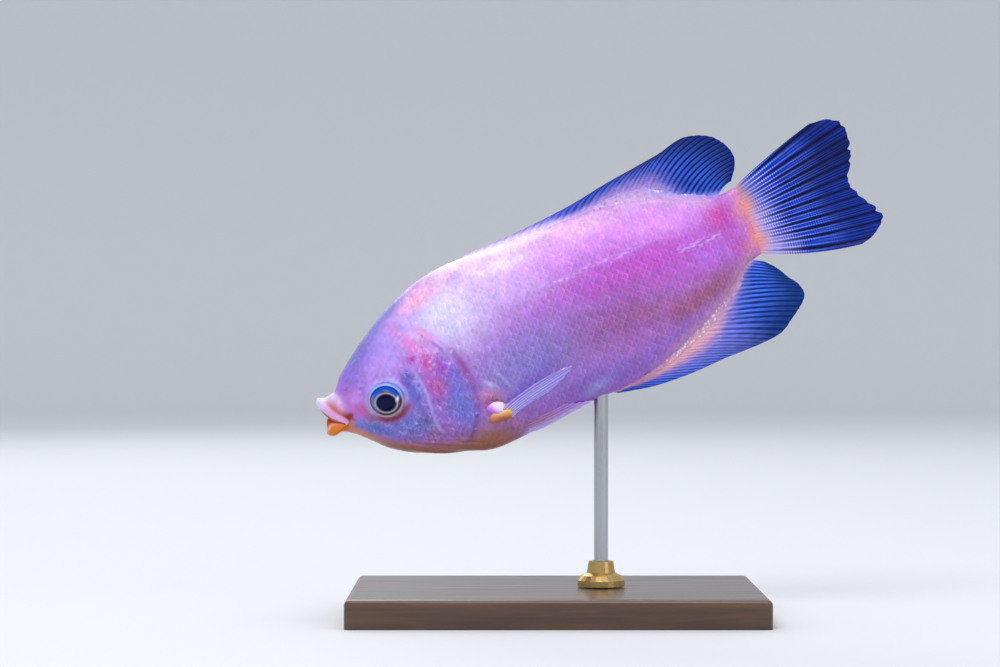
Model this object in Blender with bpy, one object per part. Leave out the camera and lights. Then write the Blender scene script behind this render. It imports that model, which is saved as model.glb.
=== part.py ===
"""Kissing gourami as a still, life-size model on a plain display stand, in metres with +Z up.

The fish is modelled level in its own frame: x runs from the snout to the tail, y to its right side and
z to its back. It is then pitched nose down and raised on the rod. Its left side faces -Y.
"""

import math

import bmesh
import bpy
from mathutils import Matrix, Vector

# Driving dimensions
STANDARD_LENGTH = 0.100           # snout to the root of the tail fin
UNIT = STANDARD_LENGTH / 100      # outlines and places below are in hundredths of that length
NOSE_DOWN = math.radians(22.63)   # pitch of the body in the pose
SNOUT_AHEAD = 0.050               # snout to the centre of the base, along X
SNOUT_HEIGHT = 0.0445             # snout above the floor
GAP = 0.0003                      # clearance between neighbouring pieces

# Body outlines: (x, z) of the back and belly, (x, half width), (x, level of the greatest width)
BACK_LINE = [(0.8, -0.7), (1.6, 0.3), (2.8, 0.75), (4.3, 1.15), (6.6, 3.7), (8.9, 5.5), (13.7, 8.8),
             (20, 12.4), (25, 14.5), (30, 16), (37, 16.7), (50, 16.1), (60, 15.7), (70, 15.2),
             (80, 13.4), (85, 11.5), (90, 9.3), (94, 8.1), (98.4, 8.4)]
BELLY_LINE = [(0.8, -6.2), (1.6, -6.8), (2.8, -7.4), (5.1, -9), (7.5, -11.4), (10.2, -14.2),
              (14.5, -17.1), (19.5, -19.4), (24.6, -21.1), (29.7, -22.8), (34, -23.1), (45, -22.2),
              (53, -21.6), (62, -21.5), (70, -20), (80, -16.5), (85, -14), (90, -10.9), (94, -7.9),
              (98.4, -6.7)]
HALF_WIDTH = [(0.8, 1.3), (1.6, 2.2), (2.8, 2.9), (4.3, 3.5), (8, 5), (13.5, 6.5), (20, 7.8), (27, 8.6),
              (36, 8.9), (45, 8.5), (55, 7.8), (65, 6.7), (75, 5.4), (85, 4), (92, 3), (98.4, 1.4)]
WIDEST_LEVEL = [(0.8, -3.2), (4.3, -3.7), (13.5, -4.4), (25, -4.6), (36, -4), (60, -2.5), (85, -0.4),
                (98.4, 0.85)]
FULLNESS = [(0.8, 2.3), (13.5, 2.15), (36, 2.1), (60, 1.95), (98.4, 1.9)]
BODY_ENDS = (0.8, 98.4)
RING_STEPS = [(7, 1.25), (34, 2.25), (88, 3.4), (98.4, 2.1)]    # up to this x, rings this far apart
RING_SIDES = 40

# Cuts between the head, trunk and tail stalk, as (x, z) from the back to the belly
GILL_LINE = [(21.2, 17), (21.8, 11), (23.2, 7.8), (25.6, 6), (28, 2.6), (30.2, -1.2), (31.3, -5.7),
             (31.1, -10.8), (29.7, -15.4), (27.7, -18.2), (25.4, -20.4), (24.2, -25)]
TAIL_LINE = [(85, 18), (86.3, 6), (86.5, 0), (86.2, -6), (84.6, -18)]
CUT_POINTS = 25
HEAD_FRONT = -3

# Gill covers: front edge of each plate, from its top to the throat
COVER_FRONT = [(24.2, 6.3), (22.4, 4.8), (21.9, 0.5), (22.5, -4), (22.8, -8), (22.5, -12.5), (23, -16),
               (24.8, -18.9), (26, -19.4)]
COVER_PROUD = 0.00045
COVER_DEPTH = 0.0009

# Eyes and nostrils
EYE_PLACE = (13.5, -4.7)
EYE_OPENING = 3.65                # radius of the eye where it comes out of the skin
EYE_THICKNESS = 2                 # half the eyeball's thickness
EYE_DEPTH = 1.2                   # its centre, below the skin
EYE_YAW = 13                      # degrees that each eye turns forwards with the side of the head
EYE_RADIUS = EYE_OPENING / math.sqrt(1 - (EYE_DEPTH / EYE_THICKNESS) ** 2)
ORBIT_RIM = 0.4
NOSTRILS = [(6.6, 0.4, 0.42), (9.6, -0.7, 0.5)]    # x, z and radius
NOSTRIL_DEPTH = 0.9
NOSTRIL_PITCH = 40

# Lips: side view of each arch's front and corner, its half width and its thickness
UPPER_LIP = dict(front=(0.75, 0.1), corner=(4.75, -6.05), half_width=3.1, rolls=(0.95, 0.85), end=0.45)
LOWER_LIP = dict(front=(0.35, -5.3), corner=(3.9, -6.5), half_width=2.6, rolls=(0.8, 1.75), end=0.5)
LIP_STEPS = 16
LIP_SIDES = 10
MOUTH_SLIT = dict(front=(-1.6, -1.5), back=(4.3, -5.6), half_width=2.3, height=1.2)

# Fins: ray roots as (ray, x) on the body's edge and ray tips as (ray, x, z)
DORSAL_ROOTS = [(0, 39.2), (10, 59), (17, 71.2), (32, 94.3)]
DORSAL_TIPS = [(0, 41.5, 17.05), (5, 52, 17.2), (10, 64.5, 18.1), (14, 74.5, 19.6), (17, 81.5, 20.4),
               (20, 87, 21.1), (23, 92.3, 22.2), (26, 97, 20.7), (28, 99.6, 18.3), (30, 100.8, 15),
               (31, 100.2, 12.5), (32, 98.2, 9.8)]
ANAL_ROOTS = [(0, 57.5), (8, 67.5), (14, 75), (32, 95.6)]
ANAL_TIPS = [(0, 59.2, -22.2), (4, 67, -23.8), (8, 75, -24.3), (13, 83.5, -24.1), (18, 90.5, -24.2),
             (21, 95.8, -23.7), (23, 98.9, -21.9), (25, 101.6, -20.1), (26.5, 103.3, -18.4),
             (28, 103.2, -15.9), (29.5, 101.6, -13.4), (31, 100, -10.6), (32, 98.2, -8.5)]
TAIL_TIPS = [(0, 121.5, 14.3), (1, 124.5, 12.6), (2, 124.8, 10.3), (4, 123.6, 5.5), (5, 122.4, 2.9),
             (6, 120.9, 0.2), (7, 121.5, -2.2), (9, 124, -6.6), (10, 124.7, -9), (11, 123.7, -11),
             (12, 120.6, -12.4)]
TAIL_ROOT = 98.4
TAIL_SWAY = 1.6                   # how far the tail fin's edge bends to the left
MEDIAN_RAYS = 32
TAIL_RAYS = 12
PECTORAL_ROOTS = [(0, 36.3, 5.9, -17.9), (1, 35, 7.6, -15.6)]
PECTORAL_TIPS = [(0, 46, 9, -15.9), (0.35, 50.2, 10.5, -14.4), (0.62, 51.6, 12, -13.2),
                 (1, 47.6, 14.4, -12.9)]
PECTORAL_LOBES = [dict(place=(33.9, 7.1, -14.9), radii=(2.3, 1.4, 1.7), turn=35),
                  dict(place=(35.2, 6.1, -17.3), radii=(2.4, 1.3, 1.1), turn=20)]
PECTORAL_RAYS = 9
PELVIC_ROOTS = [(0, 36.4, -80), (1, 38.6, -61)]          # x and the angle round the body's section
PELVIC_TIPS = [(0, 51, -79), (0.3, 53.2, -76), (1, 48.5, -63)]
PELVIC_LIFT = (0.1, 0.85)
PELVIC_RAYS = 6
MEMBRANE_HALF = 0.26              # half the thickness of the membrane between two rays
RAY_RELIEF = 0.22                 # how far a ray stands out of the membrane on each side
ROOT_HALF = 0.62                  # half the thickness of a median fin where it meets the body
TAIL_ROOT_HALF = 1.25

# Stand
BASE_SIZE = (0.086, 0.058, 0.006)
BASE_BEVEL = 0.0012
ROD_RADIUS = 0.0015
ROD_ENTRY = (55.5, -21.6)         # where the rod meets the belly
ROD_SUNK = 0.006                  # its length inside the body
ROD_FOOT = 0.002                  # its lower end, above the floor
COLLAR_PROFILE = [(0.0050, 0.0), (0.0050, 0.0012), (0.0042, 0.0022), (0.0030, 0.0028), (0.0026, 0.0052)]


def smooth(points, at, column=1):
    """Value at a place on the smooth curve through points, read from one column of them."""
    last = len(points) - 1
    at = min(max(at, points[0][0]), points[last][0])
    k = next(i for i in range(last) if at <= points[i + 1][0])

    def slope(i):
        before, after = points[max(i - 1, 0)], points[min(i + 1, last)]
        return (after[column] - before[column]) / (after[0] - before[0])

    width = points[k + 1][0] - points[k][0]
    u = (at - points[k][0]) / width
    rise = points[k + 1][column] - points[k][column]
    bend_in = slope(k) * width - rise
    bend_out = rise - slope(k + 1) * width
    return points[k][column] + u * rise + u * (1 - u) * ((1 - u) * bend_in + u * bend_out)


def smooth_path(points, count):
    """Points spaced evenly by index along the smooth curve through (x, z) points."""
    numbered = [(i, *point) for i, point in enumerate(points)]
    steps = [i * (len(points) - 1) / (count - 1) for i in range(count)]
    return [(smooth(numbered, s, 1), smooth(numbered, s, 2)) for s in steps]


def signed_power(value, power):
    return math.copysign(abs(value) ** power, value)


def on_section(x, angle, lift=0.0):
    """A point of the body's surface in metres: angle 0 is its right side and 90 degrees its back."""
    power = 2 / smooth(FULLNESS, x)
    middle = smooth(WIDEST_LEVEL, x)
    edge = smooth(BACK_LINE, x) if math.sin(angle) > 0 else smooth(BELLY_LINE, x)
    y = smooth(HALF_WIDTH, x) * signed_power(math.cos(angle), power)
    z = middle + (edge - middle) * abs(math.sin(angle)) ** power
    point = Vector((x, y, z))
    if lift:
        along = on_section(x + 0.5, angle) - on_section(x - 0.5, angle)
        around = on_section(x, angle + 0.02) - on_section(x, angle - 0.02)
        point += along.cross(around).normalized() * -lift
    return point * UNIT


def ring_places():
    """The x of each ring of the body, closer together at the snout and the tail root."""
    places, x = [BODY_ENDS[0]], BODY_ENDS[0]
    for end, step in RING_STEPS:
        count = max(1, round((end - x) / step))
        places += [x + (end - x) * (i + 1) / count for i in range(count)]
        x = end
    return places


def material(name, red, green, blue, roughness, metallic=0.0):
    """A Principled material from a display colour of 0 to 255 a channel."""
    made = bpy.data.materials.new(name)
    made.use_nodes = True
    shader = made.node_tree.nodes["Principled BSDF"]
    linear = [(channel / 255) ** 2.2 for channel in (red, green, blue)]
    shader.inputs["Base Color"].default_value = (*linear, 1)
    shader.inputs["Roughness"].default_value = roughness
    shader.inputs["Metallic"].default_value = metallic
    made.diffuse_color = (*linear, 1)
    return made


def object_from(name, bm, collection="cutters"):
    """Turns a bmesh into an object with its faces pointing out."""
    bmesh.ops.recalc_face_normals(bm, faces=bm.faces)
    mesh = bpy.data.meshes.new(name)
    bm.to_mesh(mesh)
    bm.free()
    made = bpy.data.objects.new(name, mesh)
    bpy.data.collections[collection].objects.link(made)
    return made


def loft(name, rings, closed_path=False):
    """A closed body through rings of equally many points, capped at both ends unless it closes."""
    bm = bmesh.new()
    rows = [[bm.verts.new(point) for point in ring] for ring in rings]
    pairs = list(zip(rows, rows[1:])) + ([(rows[-1], rows[0])] if closed_path else [])
    for first, second in pairs:
        for k in range(len(first)):
            after = (k + 1) % len(first)
            bm.faces.new((first[k], first[after], second[after], second[k]))
    if not closed_path:
        bm.faces.new(rows[0])
        bm.faces.new(reversed(rows[-1]))
    return object_from(name, bm)


def body_shape(name, grow=0.0):
    """The whole body without its fins, grown outwards by a distance in metres."""
    angles = [2 * math.pi * k / RING_SIDES for k in range(RING_SIDES)]
    body = loft(name, [[on_section(x, angle) for angle in angles] for x in ring_places()])
    if grow:
        bm = bmesh.new()
        bm.from_mesh(body.data)
        bm.normal_update()
        moves = [(vert, vert.normal * grow) for vert in bm.verts]
        for vert, move in moves:
            vert.co += move
        bm.to_mesh(body.data)
        bm.free()
    return body


def side_prism(name, outline, near, far):
    """A side-view outline of (x, z) in hundredths, extruded from one y to another in metres."""
    bm = bmesh.new()
    face = bm.faces.new([bm.verts.new((x * UNIT, near, z * UNIT)) for x, z in outline])
    grown = bmesh.ops.extrude_face_region(bm, geom=[face])
    moved = [item for item in grown["geom"] if isinstance(item, bmesh.types.BMVert)]
    bmesh.ops.translate(bm, verts=moved, vec=(0, far - near, 0))
    return object_from(name, bm)


def ellipsoid(name, centre, radii, turn=0.0, yaw=0.0, segments=24, rings=12):
    """A ball stretched to three radii in hundredths, pitched nose up and yawed by angles in degrees."""
    bm = bmesh.new()
    place = Matrix.Translation(Vector(centre) * UNIT) @ Matrix.Rotation(math.radians(yaw), 4, "Z")
    place @= Matrix.Rotation(math.radians(turn), 4, "Y")
    stretch = Matrix.Diagonal((*(radius * UNIT for radius in radii), 1))
    poles_out = Matrix.Rotation(math.pi / 2, 4, "X")
    bmesh.ops.create_uvsphere(bm, u_segments=segments, v_segments=rings, radius=1,
                              matrix=place @ stretch @ poles_out)
    return object_from(name, bm)


def combine(target, other, operation, solver="EXACT"):
    """Joins, cuts or intersects the target with another object, which is then removed."""
    step = target.modifiers.new("combine", "BOOLEAN")
    step.operation = operation
    step.solver = solver
    step.object = other
    bpy.context.view_layer.update()
    graph = bpy.context.evaluated_depsgraph_get()
    old = target.data
    target.data = bpy.data.meshes.new_from_object(target.evaluated_get(graph))
    target.modifiers.clear()
    bpy.data.meshes.remove(old)
    bpy.data.objects.remove(other)
    keep_largest(target)
    return target


def keep_largest(target):
    """Leaves only the largest of the closed surfaces in an object."""
    bm = bmesh.new()
    bm.from_mesh(target.data)
    left, islands = set(bm.faces), []
    while left:
        grow, island = [left.pop()], []
        while grow:
            face = grow.pop()
            island.append(face)
            near = {other for edge in face.edges for other in edge.link_faces if other in left}
            left -= near
            grow += near
        islands.append(island)
    islands.sort(key=lambda island: sum(face.calc_area() for face in island))
    scraps = [face for island in islands[:-1] for face in island]
    bmesh.ops.delete(bm, geom=scraps, context="FACES")
    bm.to_mesh(target.data)
    bm.free()


def finish(target, finish_material, smooth_angle=math.radians(40)):
    """Moves a piece into the model's collection and gives it its material and shading."""
    bpy.data.collections["cutters"].objects.unlink(target)
    bpy.data.collections["kissing_gourami"].objects.link(target)
    target.data.materials.clear()
    target.data.materials.append(finish_material)
    target.data.shade_smooth()
    target.data.set_sharp_from_angle(angle=smooth_angle)
    return target


def body_part(name, front_cut, rear_cut):
    """The stretch of the body between two side-view cuts, half a gap clear of each."""
    half_gap = GAP / 2 / UNIT
    front = [(x + half_gap, z) for x, z in front_cut]
    rear = [(x - half_gap, z) for x, z in rear_cut]
    reach = 2 * max(width for _, width in HALF_WIDTH) * UNIT
    region = side_prism("region", front + rear[::-1], -reach, reach)
    return combine(body_shape(name), region, "INTERSECT")


def cover_outline(margin):
    """Side view of a gill cover: its front edge, grown by a margin, and the gill line behind it."""
    front = smooth_path(COVER_FRONT, 2 * len(COVER_FRONT))
    top, bottom = COVER_FRONT[0][1], COVER_FRONT[-1][1]
    rear = [(x, z) for x, z in smooth_path(GILL_LINE, 2 * CUT_POINTS) if bottom < z < top]
    half_gap = GAP / 2 / UNIT
    front = [(x - margin, z + margin * (1 - 2 * i / (len(front) - 1))) for i, (x, z) in enumerate(front)]
    return front + [(x - half_gap + 3 * margin, z) for x, z in rear[::-1]]


def gill_cover(name, side):
    """A curved plate on the side of the head, proud of it, that ends at the gill opening."""
    reach = 2 * max(width for _, width in HALF_WIDTH) * UNIT * side
    plate = side_prism(name, cover_outline(0), 1.5 * UNIT * side, reach)
    combine(plate, body_shape("outside", COVER_PROUD), "INTERSECT")
    return combine(plate, body_shape("inside", -COVER_DEPTH), "DIFFERENCE")


def cover_recess(side):
    """The space in the head that a gill cover sits in, with the gap all round."""
    reach = 2 * max(width for _, width in HALF_WIDTH) * UNIT * side
    recess = side_prism("recess", cover_outline(GAP / UNIT), 1.2 * UNIT * side, reach)
    return combine(recess, body_shape("floor", -COVER_DEPTH - GAP), "DIFFERENCE")


def arch(name, front, corner, half_width, rolls, end, grow=0.0):
    """A lip: a tapered roll that follows half an ellipse from one corner of the mouth to the other."""
    down = Vector((corner[0] - front[0], 0, corner[1] - front[1]))
    rings = []
    for step in range(LIP_STEPS + 1):
        turn = math.pi * (step / LIP_STEPS - 0.5)
        taper = end + (1 - end) * math.cos(turn) ** 0.7
        centre = Vector((front[0], 0, front[1])) + down * (1 - math.cos(turn))
        centre.y = half_width * math.sin(turn)
        ahead = (down * math.sin(turn) + Vector((0, half_width * math.cos(turn), 0))).normalized()
        flat = down.normalized().cross(Vector((0, 1, 0))).normalized()
        across = ahead.cross(flat)
        ring = []
        for k in range(LIP_SIDES):
            angle = 2 * math.pi * k / LIP_SIDES
            offset = across * (rolls[0] * taper + grow) * math.cos(angle)
            offset += flat * (rolls[1] * taper + grow) * math.sin(angle)
            ring.append((centre + offset) * UNIT)
        rings.append(ring)
    return loft(name, rings)


def mouth_slit():
    """A flattened, egg-shaped cutter that opens the mouth between the lips."""
    front, back = (Vector((x, 0, z)) for x, z in (MOUTH_SLIT["front"], MOUTH_SLIT["back"]))
    middle, length = (front + back) / 2, (back - front).length
    pitch = math.degrees(math.atan2(front.z - back.z, back.x - front.x))
    return ellipsoid("slit", middle, (length / 2, MOUTH_SLIT["half_width"], MOUTH_SLIT["height"]), pitch)


def eyeball(name, side, grow=0.0):
    x, z = EYE_PLACE
    centre = (x, (surface_half(x, z) - EYE_DEPTH) * side, z)
    radii = (EYE_RADIUS + grow, EYE_THICKNESS + grow, EYE_RADIUS + grow)
    return ellipsoid(name, centre, radii, yaw=EYE_YAW * side, segments=24, rings=10)


def orbit_rim(side):
    """The low ring of skin round an eye."""
    x, z = EYE_PLACE
    turns, sides = 26, 6
    rings = []
    for i in range(turns):
        around = 2 * math.pi * i / turns
        ring = []
        for k in range(sides):
            angle = 2 * math.pi * k / sides
            radius = EYE_OPENING + 0.65 + ORBIT_RIM * math.cos(angle)
            place = Vector((x + radius * math.cos(around), 0, z + radius * math.sin(around)))
            place.y = (surface_half(place.x, place.z) + ORBIT_RIM * math.sin(angle)) * side
            ring.append(place * UNIT)
        rings.append(ring)
    return loft("rim", rings, closed_path=True)


def surface_half(x, z):
    """Half the body's width at a side-view place, in hundredths."""
    middle = smooth(WIDEST_LEVEL, x)
    edge = smooth(BACK_LINE, x) if z > middle else smooth(BELLY_LINE, x)
    share = min(1.0, (z - middle) / (edge - middle))
    fullness = smooth(FULLNESS, x)
    return smooth(HALF_WIDTH, x) * (1 - share ** fullness) ** (1 / fullness)


def head():
    """The head in front of the gill line, with its eye sockets, nostrils, mouth and cover recesses."""
    cut = smooth_path(GILL_LINE, CUT_POINTS)
    made = body_part("head", [(HEAD_FRONT, cut[0][1]), (HEAD_FRONT, cut[-1][1])], cut)
    for side in (-1, 1):
        combine(made, orbit_rim(side), "UNION")
        combine(made, eyeball("socket", side, GAP / UNIT), "DIFFERENCE")
        combine(made, cover_recess(side), "DIFFERENCE")
        for x, z, radius in NOSTRILS:
            depth = surface_half(x, z) * side
            pit = ellipsoid("pit", (x, depth, z), (radius, NOSTRIL_DEPTH, radius * 0.75), NOSTRIL_PITCH,
                            segments=10, rings=6)
            combine(made, pit, "DIFFERENCE")
    combine(made, mouth_slit(), "DIFFERENCE")
    for lip in (UPPER_LIP, LOWER_LIP):
        combine(made, arch("bed", **lip, grow=GAP / UNIT), "DIFFERENCE")
    return made


def upper_lip():
    return arch("upper_lip", **UPPER_LIP)


def lower_lip():
    made = arch("lower_lip", **LOWER_LIP)
    combine(made, arch("bed", **UPPER_LIP, grow=GAP / UNIT), "DIFFERENCE")
    return combine(made, mouth_slit(), "DIFFERENCE")


def trunk(rod_socket):
    cut = smooth_path(GILL_LINE, CUT_POINTS)
    made = body_part("trunk", cut, smooth_path(TAIL_LINE, CUT_POINTS))
    return combine(made, rod_socket, "DIFFERENCE")


def tail_stalk():
    rear = BODY_ENDS[1] + 2
    cut = smooth_path(TAIL_LINE, CUT_POINTS)
    return body_part("tail_stalk", cut, [(rear, cut[0][1]), (rear, cut[-1][1])])


def sheet(name, columns, halves, normals):
    """A thin closed body about a grid of points, split into the same triangles on both faces."""
    bm = bmesh.new()
    faces = []
    for sign in (1, -1):
        faces.append([[bm.verts.new((point + normal * half * sign) * UNIT)
                       for point, half, normal in zip(*column)]
                      for column in zip(columns, halves, normals)])
    last_column, last_row = len(columns) - 1, len(columns[0]) - 1
    for grid in faces:
        for i in range(last_column):
            for j in range(last_row):
                bm.faces.new((grid[i][j], grid[i + 1][j], grid[i + 1][j + 1]))
                bm.faces.new((grid[i][j], grid[i + 1][j + 1], grid[i][j + 1]))
    border = [(i, 0) for i in range(last_column)] + [(last_column, j) for j in range(last_row)]
    border += [(i, last_row) for i in range(last_column, 0, -1)] + [(0, j) for j in range(last_row, 0, -1)]
    for (i, j), (p, q) in zip(border, border[1:] + border[:1]):
        bm.faces.new((faces[0][i][j], faces[0][p][q], faces[1][p][q], faces[1][i][j]))
    return object_from(name, bm)


def bowed(root, tip, bow, share):
    """A point part of the way along a ray that bows to one side of the straight line."""
    return root.lerp(tip, share) + bow * (4 * share * (1 - share))


def relief(share, crest):
    """Half the thickness of a fin at a share of a ray's length; crest is 1 on a ray, 0 between two."""
    thin = 1 - 0.45 * share ** 4
    return (MEMBRANE_HALF + RAY_RELIEF * crest * (1 - 0.2 * share)) * thin


def row_shares(rows):
    """Shares of a ray's length, closer together at the root."""
    return [(row / rows) ** 1.25 for row in range(rows + 1)]


def median_fin(name, edge_line, roots, tips, outward, rows=5):
    """The dorsal or anal fin: rays from the body's edge to the fin's, with membrane between them."""
    columns, halves, normals = [], [], []
    for step in range(2 * MEDIAN_RAYS + 1):
        ray, crest = step / 2, 1 - step % 2
        x = smooth(roots, ray)
        slope = (smooth(edge_line, x + 0.5) - smooth(edge_line, x - 0.5))
        away = Vector((-slope * outward, 0, 1)).normalized() if outward > 0 else (
            Vector((slope, 0, -1)).normalized())
        root = Vector((x, 0, smooth(edge_line, x))) + away * (GAP / UNIT)
        tip = Vector((smooth(tips, ray, 1), 0, smooth(tips, ray, 2)))
        tip = root.lerp(tip, 1 if crest else 0.97)
        length = (tip - root).length
        bow = Vector((-0.35, 0, outward * 0.6)) * (0.09 * length)
        shares = row_shares(rows)
        columns.append([bowed(root, tip, bow, share) for share in shares])
        sheath = [max(0.0, 1 - share * length / 2.2) for share in shares]
        halves.append([relief(share, crest) + (ROOT_HALF - MEMBRANE_HALF) * thick ** 2
                       for share, thick in zip(shares, sheath)])
        normals.append([Vector((0, 1, 0))] * len(shares))
    return sheet(name, columns, halves, normals)


def tail_fin(rows=8):
    """The tail fin: rays that fan out from the stalk and part in two towards the edge."""
    columns, halves, normals = [], [], []
    top, bottom = smooth(BACK_LINE, TAIL_ROOT), smooth(BELLY_LINE, TAIL_ROOT)
    middle = smooth(WIDEST_LEVEL, TAIL_ROOT)
    for step in range(4 * TAIL_RAYS + 1):
        ray, part = step / 4, step % 4
        share_down = ray / TAIL_RAYS
        root = Vector((TAIL_ROOT + GAP / UNIT, 0, top + (bottom - top) * share_down))
        tip = Vector((smooth(TAIL_TIPS, ray, 1), 0, smooth(TAIL_TIPS, ray, 2)))
        tip = root.lerp(tip, 0.985 if part == 2 else 1)
        bow = Vector((0, 0, 1.1 * (1 - 2 * share_down) * abs(1 - 2 * share_down)))
        column, half = [], []
        for share in row_shares(rows):
            point = bowed(root, tip, bow, share)
            point.y = -TAIL_SWAY * ((point.x - TAIL_ROOT) / (tip.x - TAIL_ROOT)) ** 2
            column.append(point)
            crest = tail_crest(part, share)
            reach = top - middle if root.z > middle else middle - bottom
            flesh = TAIL_ROOT_HALF * math.sqrt(max(0.02, 1 - ((root.z - middle) / reach) ** 2))
            fade = max(0.0, 1 - share / 0.3) ** 1.5
            half.append(relief(share, crest) + max(0.0, flesh - MEMBRANE_HALF) * fade)
        columns.append(column)
        halves.append(half)
        normals.append([Vector((0, 1, 0))] * len(column))
    return sheet("tail_fin", columns, halves, normals)


def tail_crest(part, share):
    """Relief of one of the four columns of a tail ray: a single crest that parts in two."""
    parted = min(1.0, max(0.0, (share - 0.3) / 0.3))
    if part == 0:
        return 1 - 0.85 * parted
    if part == 2:
        return 0.0
    return 0.3 + 0.7 * parted


def grid_normals(columns):
    """The unit normal at each point of a grid, from its neighbours."""
    normals = []
    for i, column in enumerate(columns):
        before, after = columns[max(i - 1, 0)], columns[min(i + 1, len(columns) - 1)]
        row = []
        for j in range(len(column)):
            along = column[min(j + 1, len(column) - 1)] - column[max(j - 1, 0)]
            row.append(along.cross(after[j] - before[j]).normalized())
        normals.append(row)
    return normals


def pectoral_fin(name, side, rows=6):
    """A pectoral fin held out from the flank, with its fleshy root."""
    flip = Matrix.Diagonal((1, side, 1))
    columns, halves = [], []
    for step in range(2 * PECTORAL_RAYS + 1):
        at, crest = step / (2 * PECTORAL_RAYS), 1 - step % 2
        root = Vector([smooth(PECTORAL_ROOTS, at, axis) for axis in (1, 2, 3)])
        tip = Vector([smooth(PECTORAL_TIPS, at, axis) for axis in (1, 2, 3)])
        tip = root.lerp(tip, 1 if crest else 0.97)
        bow = Vector((0, 0.4, 0.25))
        columns.append([flip @ bowed(root, tip, bow, share) for share in row_shares(rows)])
        halves.append([relief(share, crest) for share in row_shares(rows)])
    made = sheet(name, columns, halves, grid_normals(columns))
    for lobe in PECTORAL_LOBES:
        ball = ellipsoid("lobe", flip @ Vector(lobe["place"]), lobe["radii"], lobe["turn"],
                         segments=14, rings=8)
        combine(made, ball, "UNION")
    return combine(made, body_shape("bed", GAP), "DIFFERENCE")


def pelvic_fin(name, side, rows=5):
    """A pelvic fin folded back along the belly."""
    flip = Matrix.Diagonal((1, side, 1))
    columns, halves = [], []
    for step in range(2 * PELVIC_RAYS + 1):
        at, crest = step / (2 * PELVIC_RAYS), 1 - step % 2
        column = []
        for share in row_shares(rows):
            ends = [[smooth(ends, at, axis) for axis in (1, 2)] for ends in (PELVIC_ROOTS, PELVIC_TIPS)]
            x, angle = (near + (far - near) * share for near, far in zip(*ends))
            lift = PELVIC_LIFT[0] + (PELVIC_LIFT[1] - PELVIC_LIFT[0]) * min(1.0, share * 3)
            column.append(flip @ (on_section(x, math.radians(angle), lift) / UNIT))
        columns.append(column)
        halves.append([relief(share, crest) for share in row_shares(rows)])
    made = sheet(name, columns, halves, grid_normals(columns))
    return combine(made, body_shape("bed", GAP), "DIFFERENCE")


def cylinder(name, radius, low, high, centre=(0, 0), segments=32):
    bm = bmesh.new()
    place = Matrix.Translation((*centre, (low + high) / 2))
    bmesh.ops.create_cone(bm, cap_ends=True, segments=segments, radius1=radius, radius2=radius,
                          depth=high - low, matrix=place)
    return object_from(name, bm)


def stand(pose, wood, steel, brass):
    """The flat base, the rod up to the belly and the collar round the rod's foot."""
    x, z = ROD_ENTRY
    entry = pose @ (Vector((x, 0, z)) * UNIT)
    foot = (entry.x, 0)
    rod = cylinder("stand_rod", ROD_RADIUS, ROD_FOOT, entry.z + ROD_SUNK, foot, 24)
    length, width, height = BASE_SIZE
    bm = bmesh.new()
    block = Matrix.Translation((0, 0, height / 2)) @ Matrix.Diagonal((length, width, height, 1))
    bmesh.ops.create_cube(bm, size=1, matrix=block)
    edges = [edge for edge in bm.edges if max(vert.co.z for vert in edge.verts) > height / 2]
    bmesh.ops.bevel(bm, geom=edges, offset=BASE_BEVEL, segments=3, profile=0.5, affect="EDGES")
    base = object_from("stand_base", bm)
    combine(base, cylinder("hole", ROD_RADIUS + GAP, ROD_FOOT - GAP, height * 2, foot), "DIFFERENCE")
    collar = turned_collar(foot, height + GAP)
    for piece, finish_material in ((base, wood), (rod, steel), (collar, brass)):
        finish(piece, finish_material)


def turned_collar(centre, low):
    """A ring with a stepped, tapering outside, turned about the rod."""
    bore = ROD_RADIUS + GAP
    turns = 24
    profile = COLLAR_PROFILE + [(bore, COLLAR_PROFILE[-1][1]), (bore, COLLAR_PROFILE[0][1])]
    rings = []
    for i in range(turns):
        around = 2 * math.pi * i / turns
        rings.append([(centre[0] + radius * math.cos(around), centre[1] + radius * math.sin(around),
                       low + height) for radius, height in profile])
    return loft("stand_collar", rings, closed_path=True)


def rod_socket(pose):
    """A cutter, in the fish's frame, for the hole in the belly that the rod stands in."""
    x, z = ROD_ENTRY
    entry = pose @ (Vector((x, 0, z)) * UNIT)
    hole = cylinder("socket", ROD_RADIUS + GAP, entry.z - 5 * ROD_SUNK, entry.z + ROD_SUNK + GAP,
                    (entry.x, 0), 24)
    hole.data.transform(pose.inverted())
    return hole


def fish(pose):
    """Every piece of the fish, in its own frame."""
    lilac = material("flank_lilac", 205, 150, 240, 0.35)
    violet = material("head_violet", 165, 135, 225, 0.4)
    blush = material("tail_magenta", 215, 125, 200, 0.35)
    cover = material("gill_cover_mauve", 160, 115, 205, 0.35)
    lip_pink = material("lip_pink", 235, 215, 245, 0.3)
    lip_orange = material("lip_orange", 205, 115, 65, 0.3)
    navy = material("eye_navy", 15, 18, 70, 0.08)
    blue = material("fin_blue", 45, 85, 195, 0.4)
    pale = material("paired_fin_lavender", 190, 180, 245, 0.4)
    pieces = [(head(), violet), (trunk(rod_socket(pose)), lilac), (tail_stalk(), blush),
              (upper_lip(), lip_pink), (lower_lip(), lip_orange),
              (median_fin("dorsal_fin", BACK_LINE, DORSAL_ROOTS, DORSAL_TIPS, 1), blue),
              (median_fin("anal_fin", BELLY_LINE, ANAL_ROOTS, ANAL_TIPS, -1), blue),
              (tail_fin(), blue)]
    for side, word in ((-1, "left"), (1, "right")):
        pieces += [(gill_cover(f"gill_cover_{word}", side), cover), (eyeball(f"eye_{word}", side), navy),
                   (pectoral_fin(f"pectoral_fin_{word}", side), pale),
                   (pelvic_fin(f"pelvic_fin_{word}", side), pale)]
    return [finish(piece, finish_material) for piece, finish_material in pieces]


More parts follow.
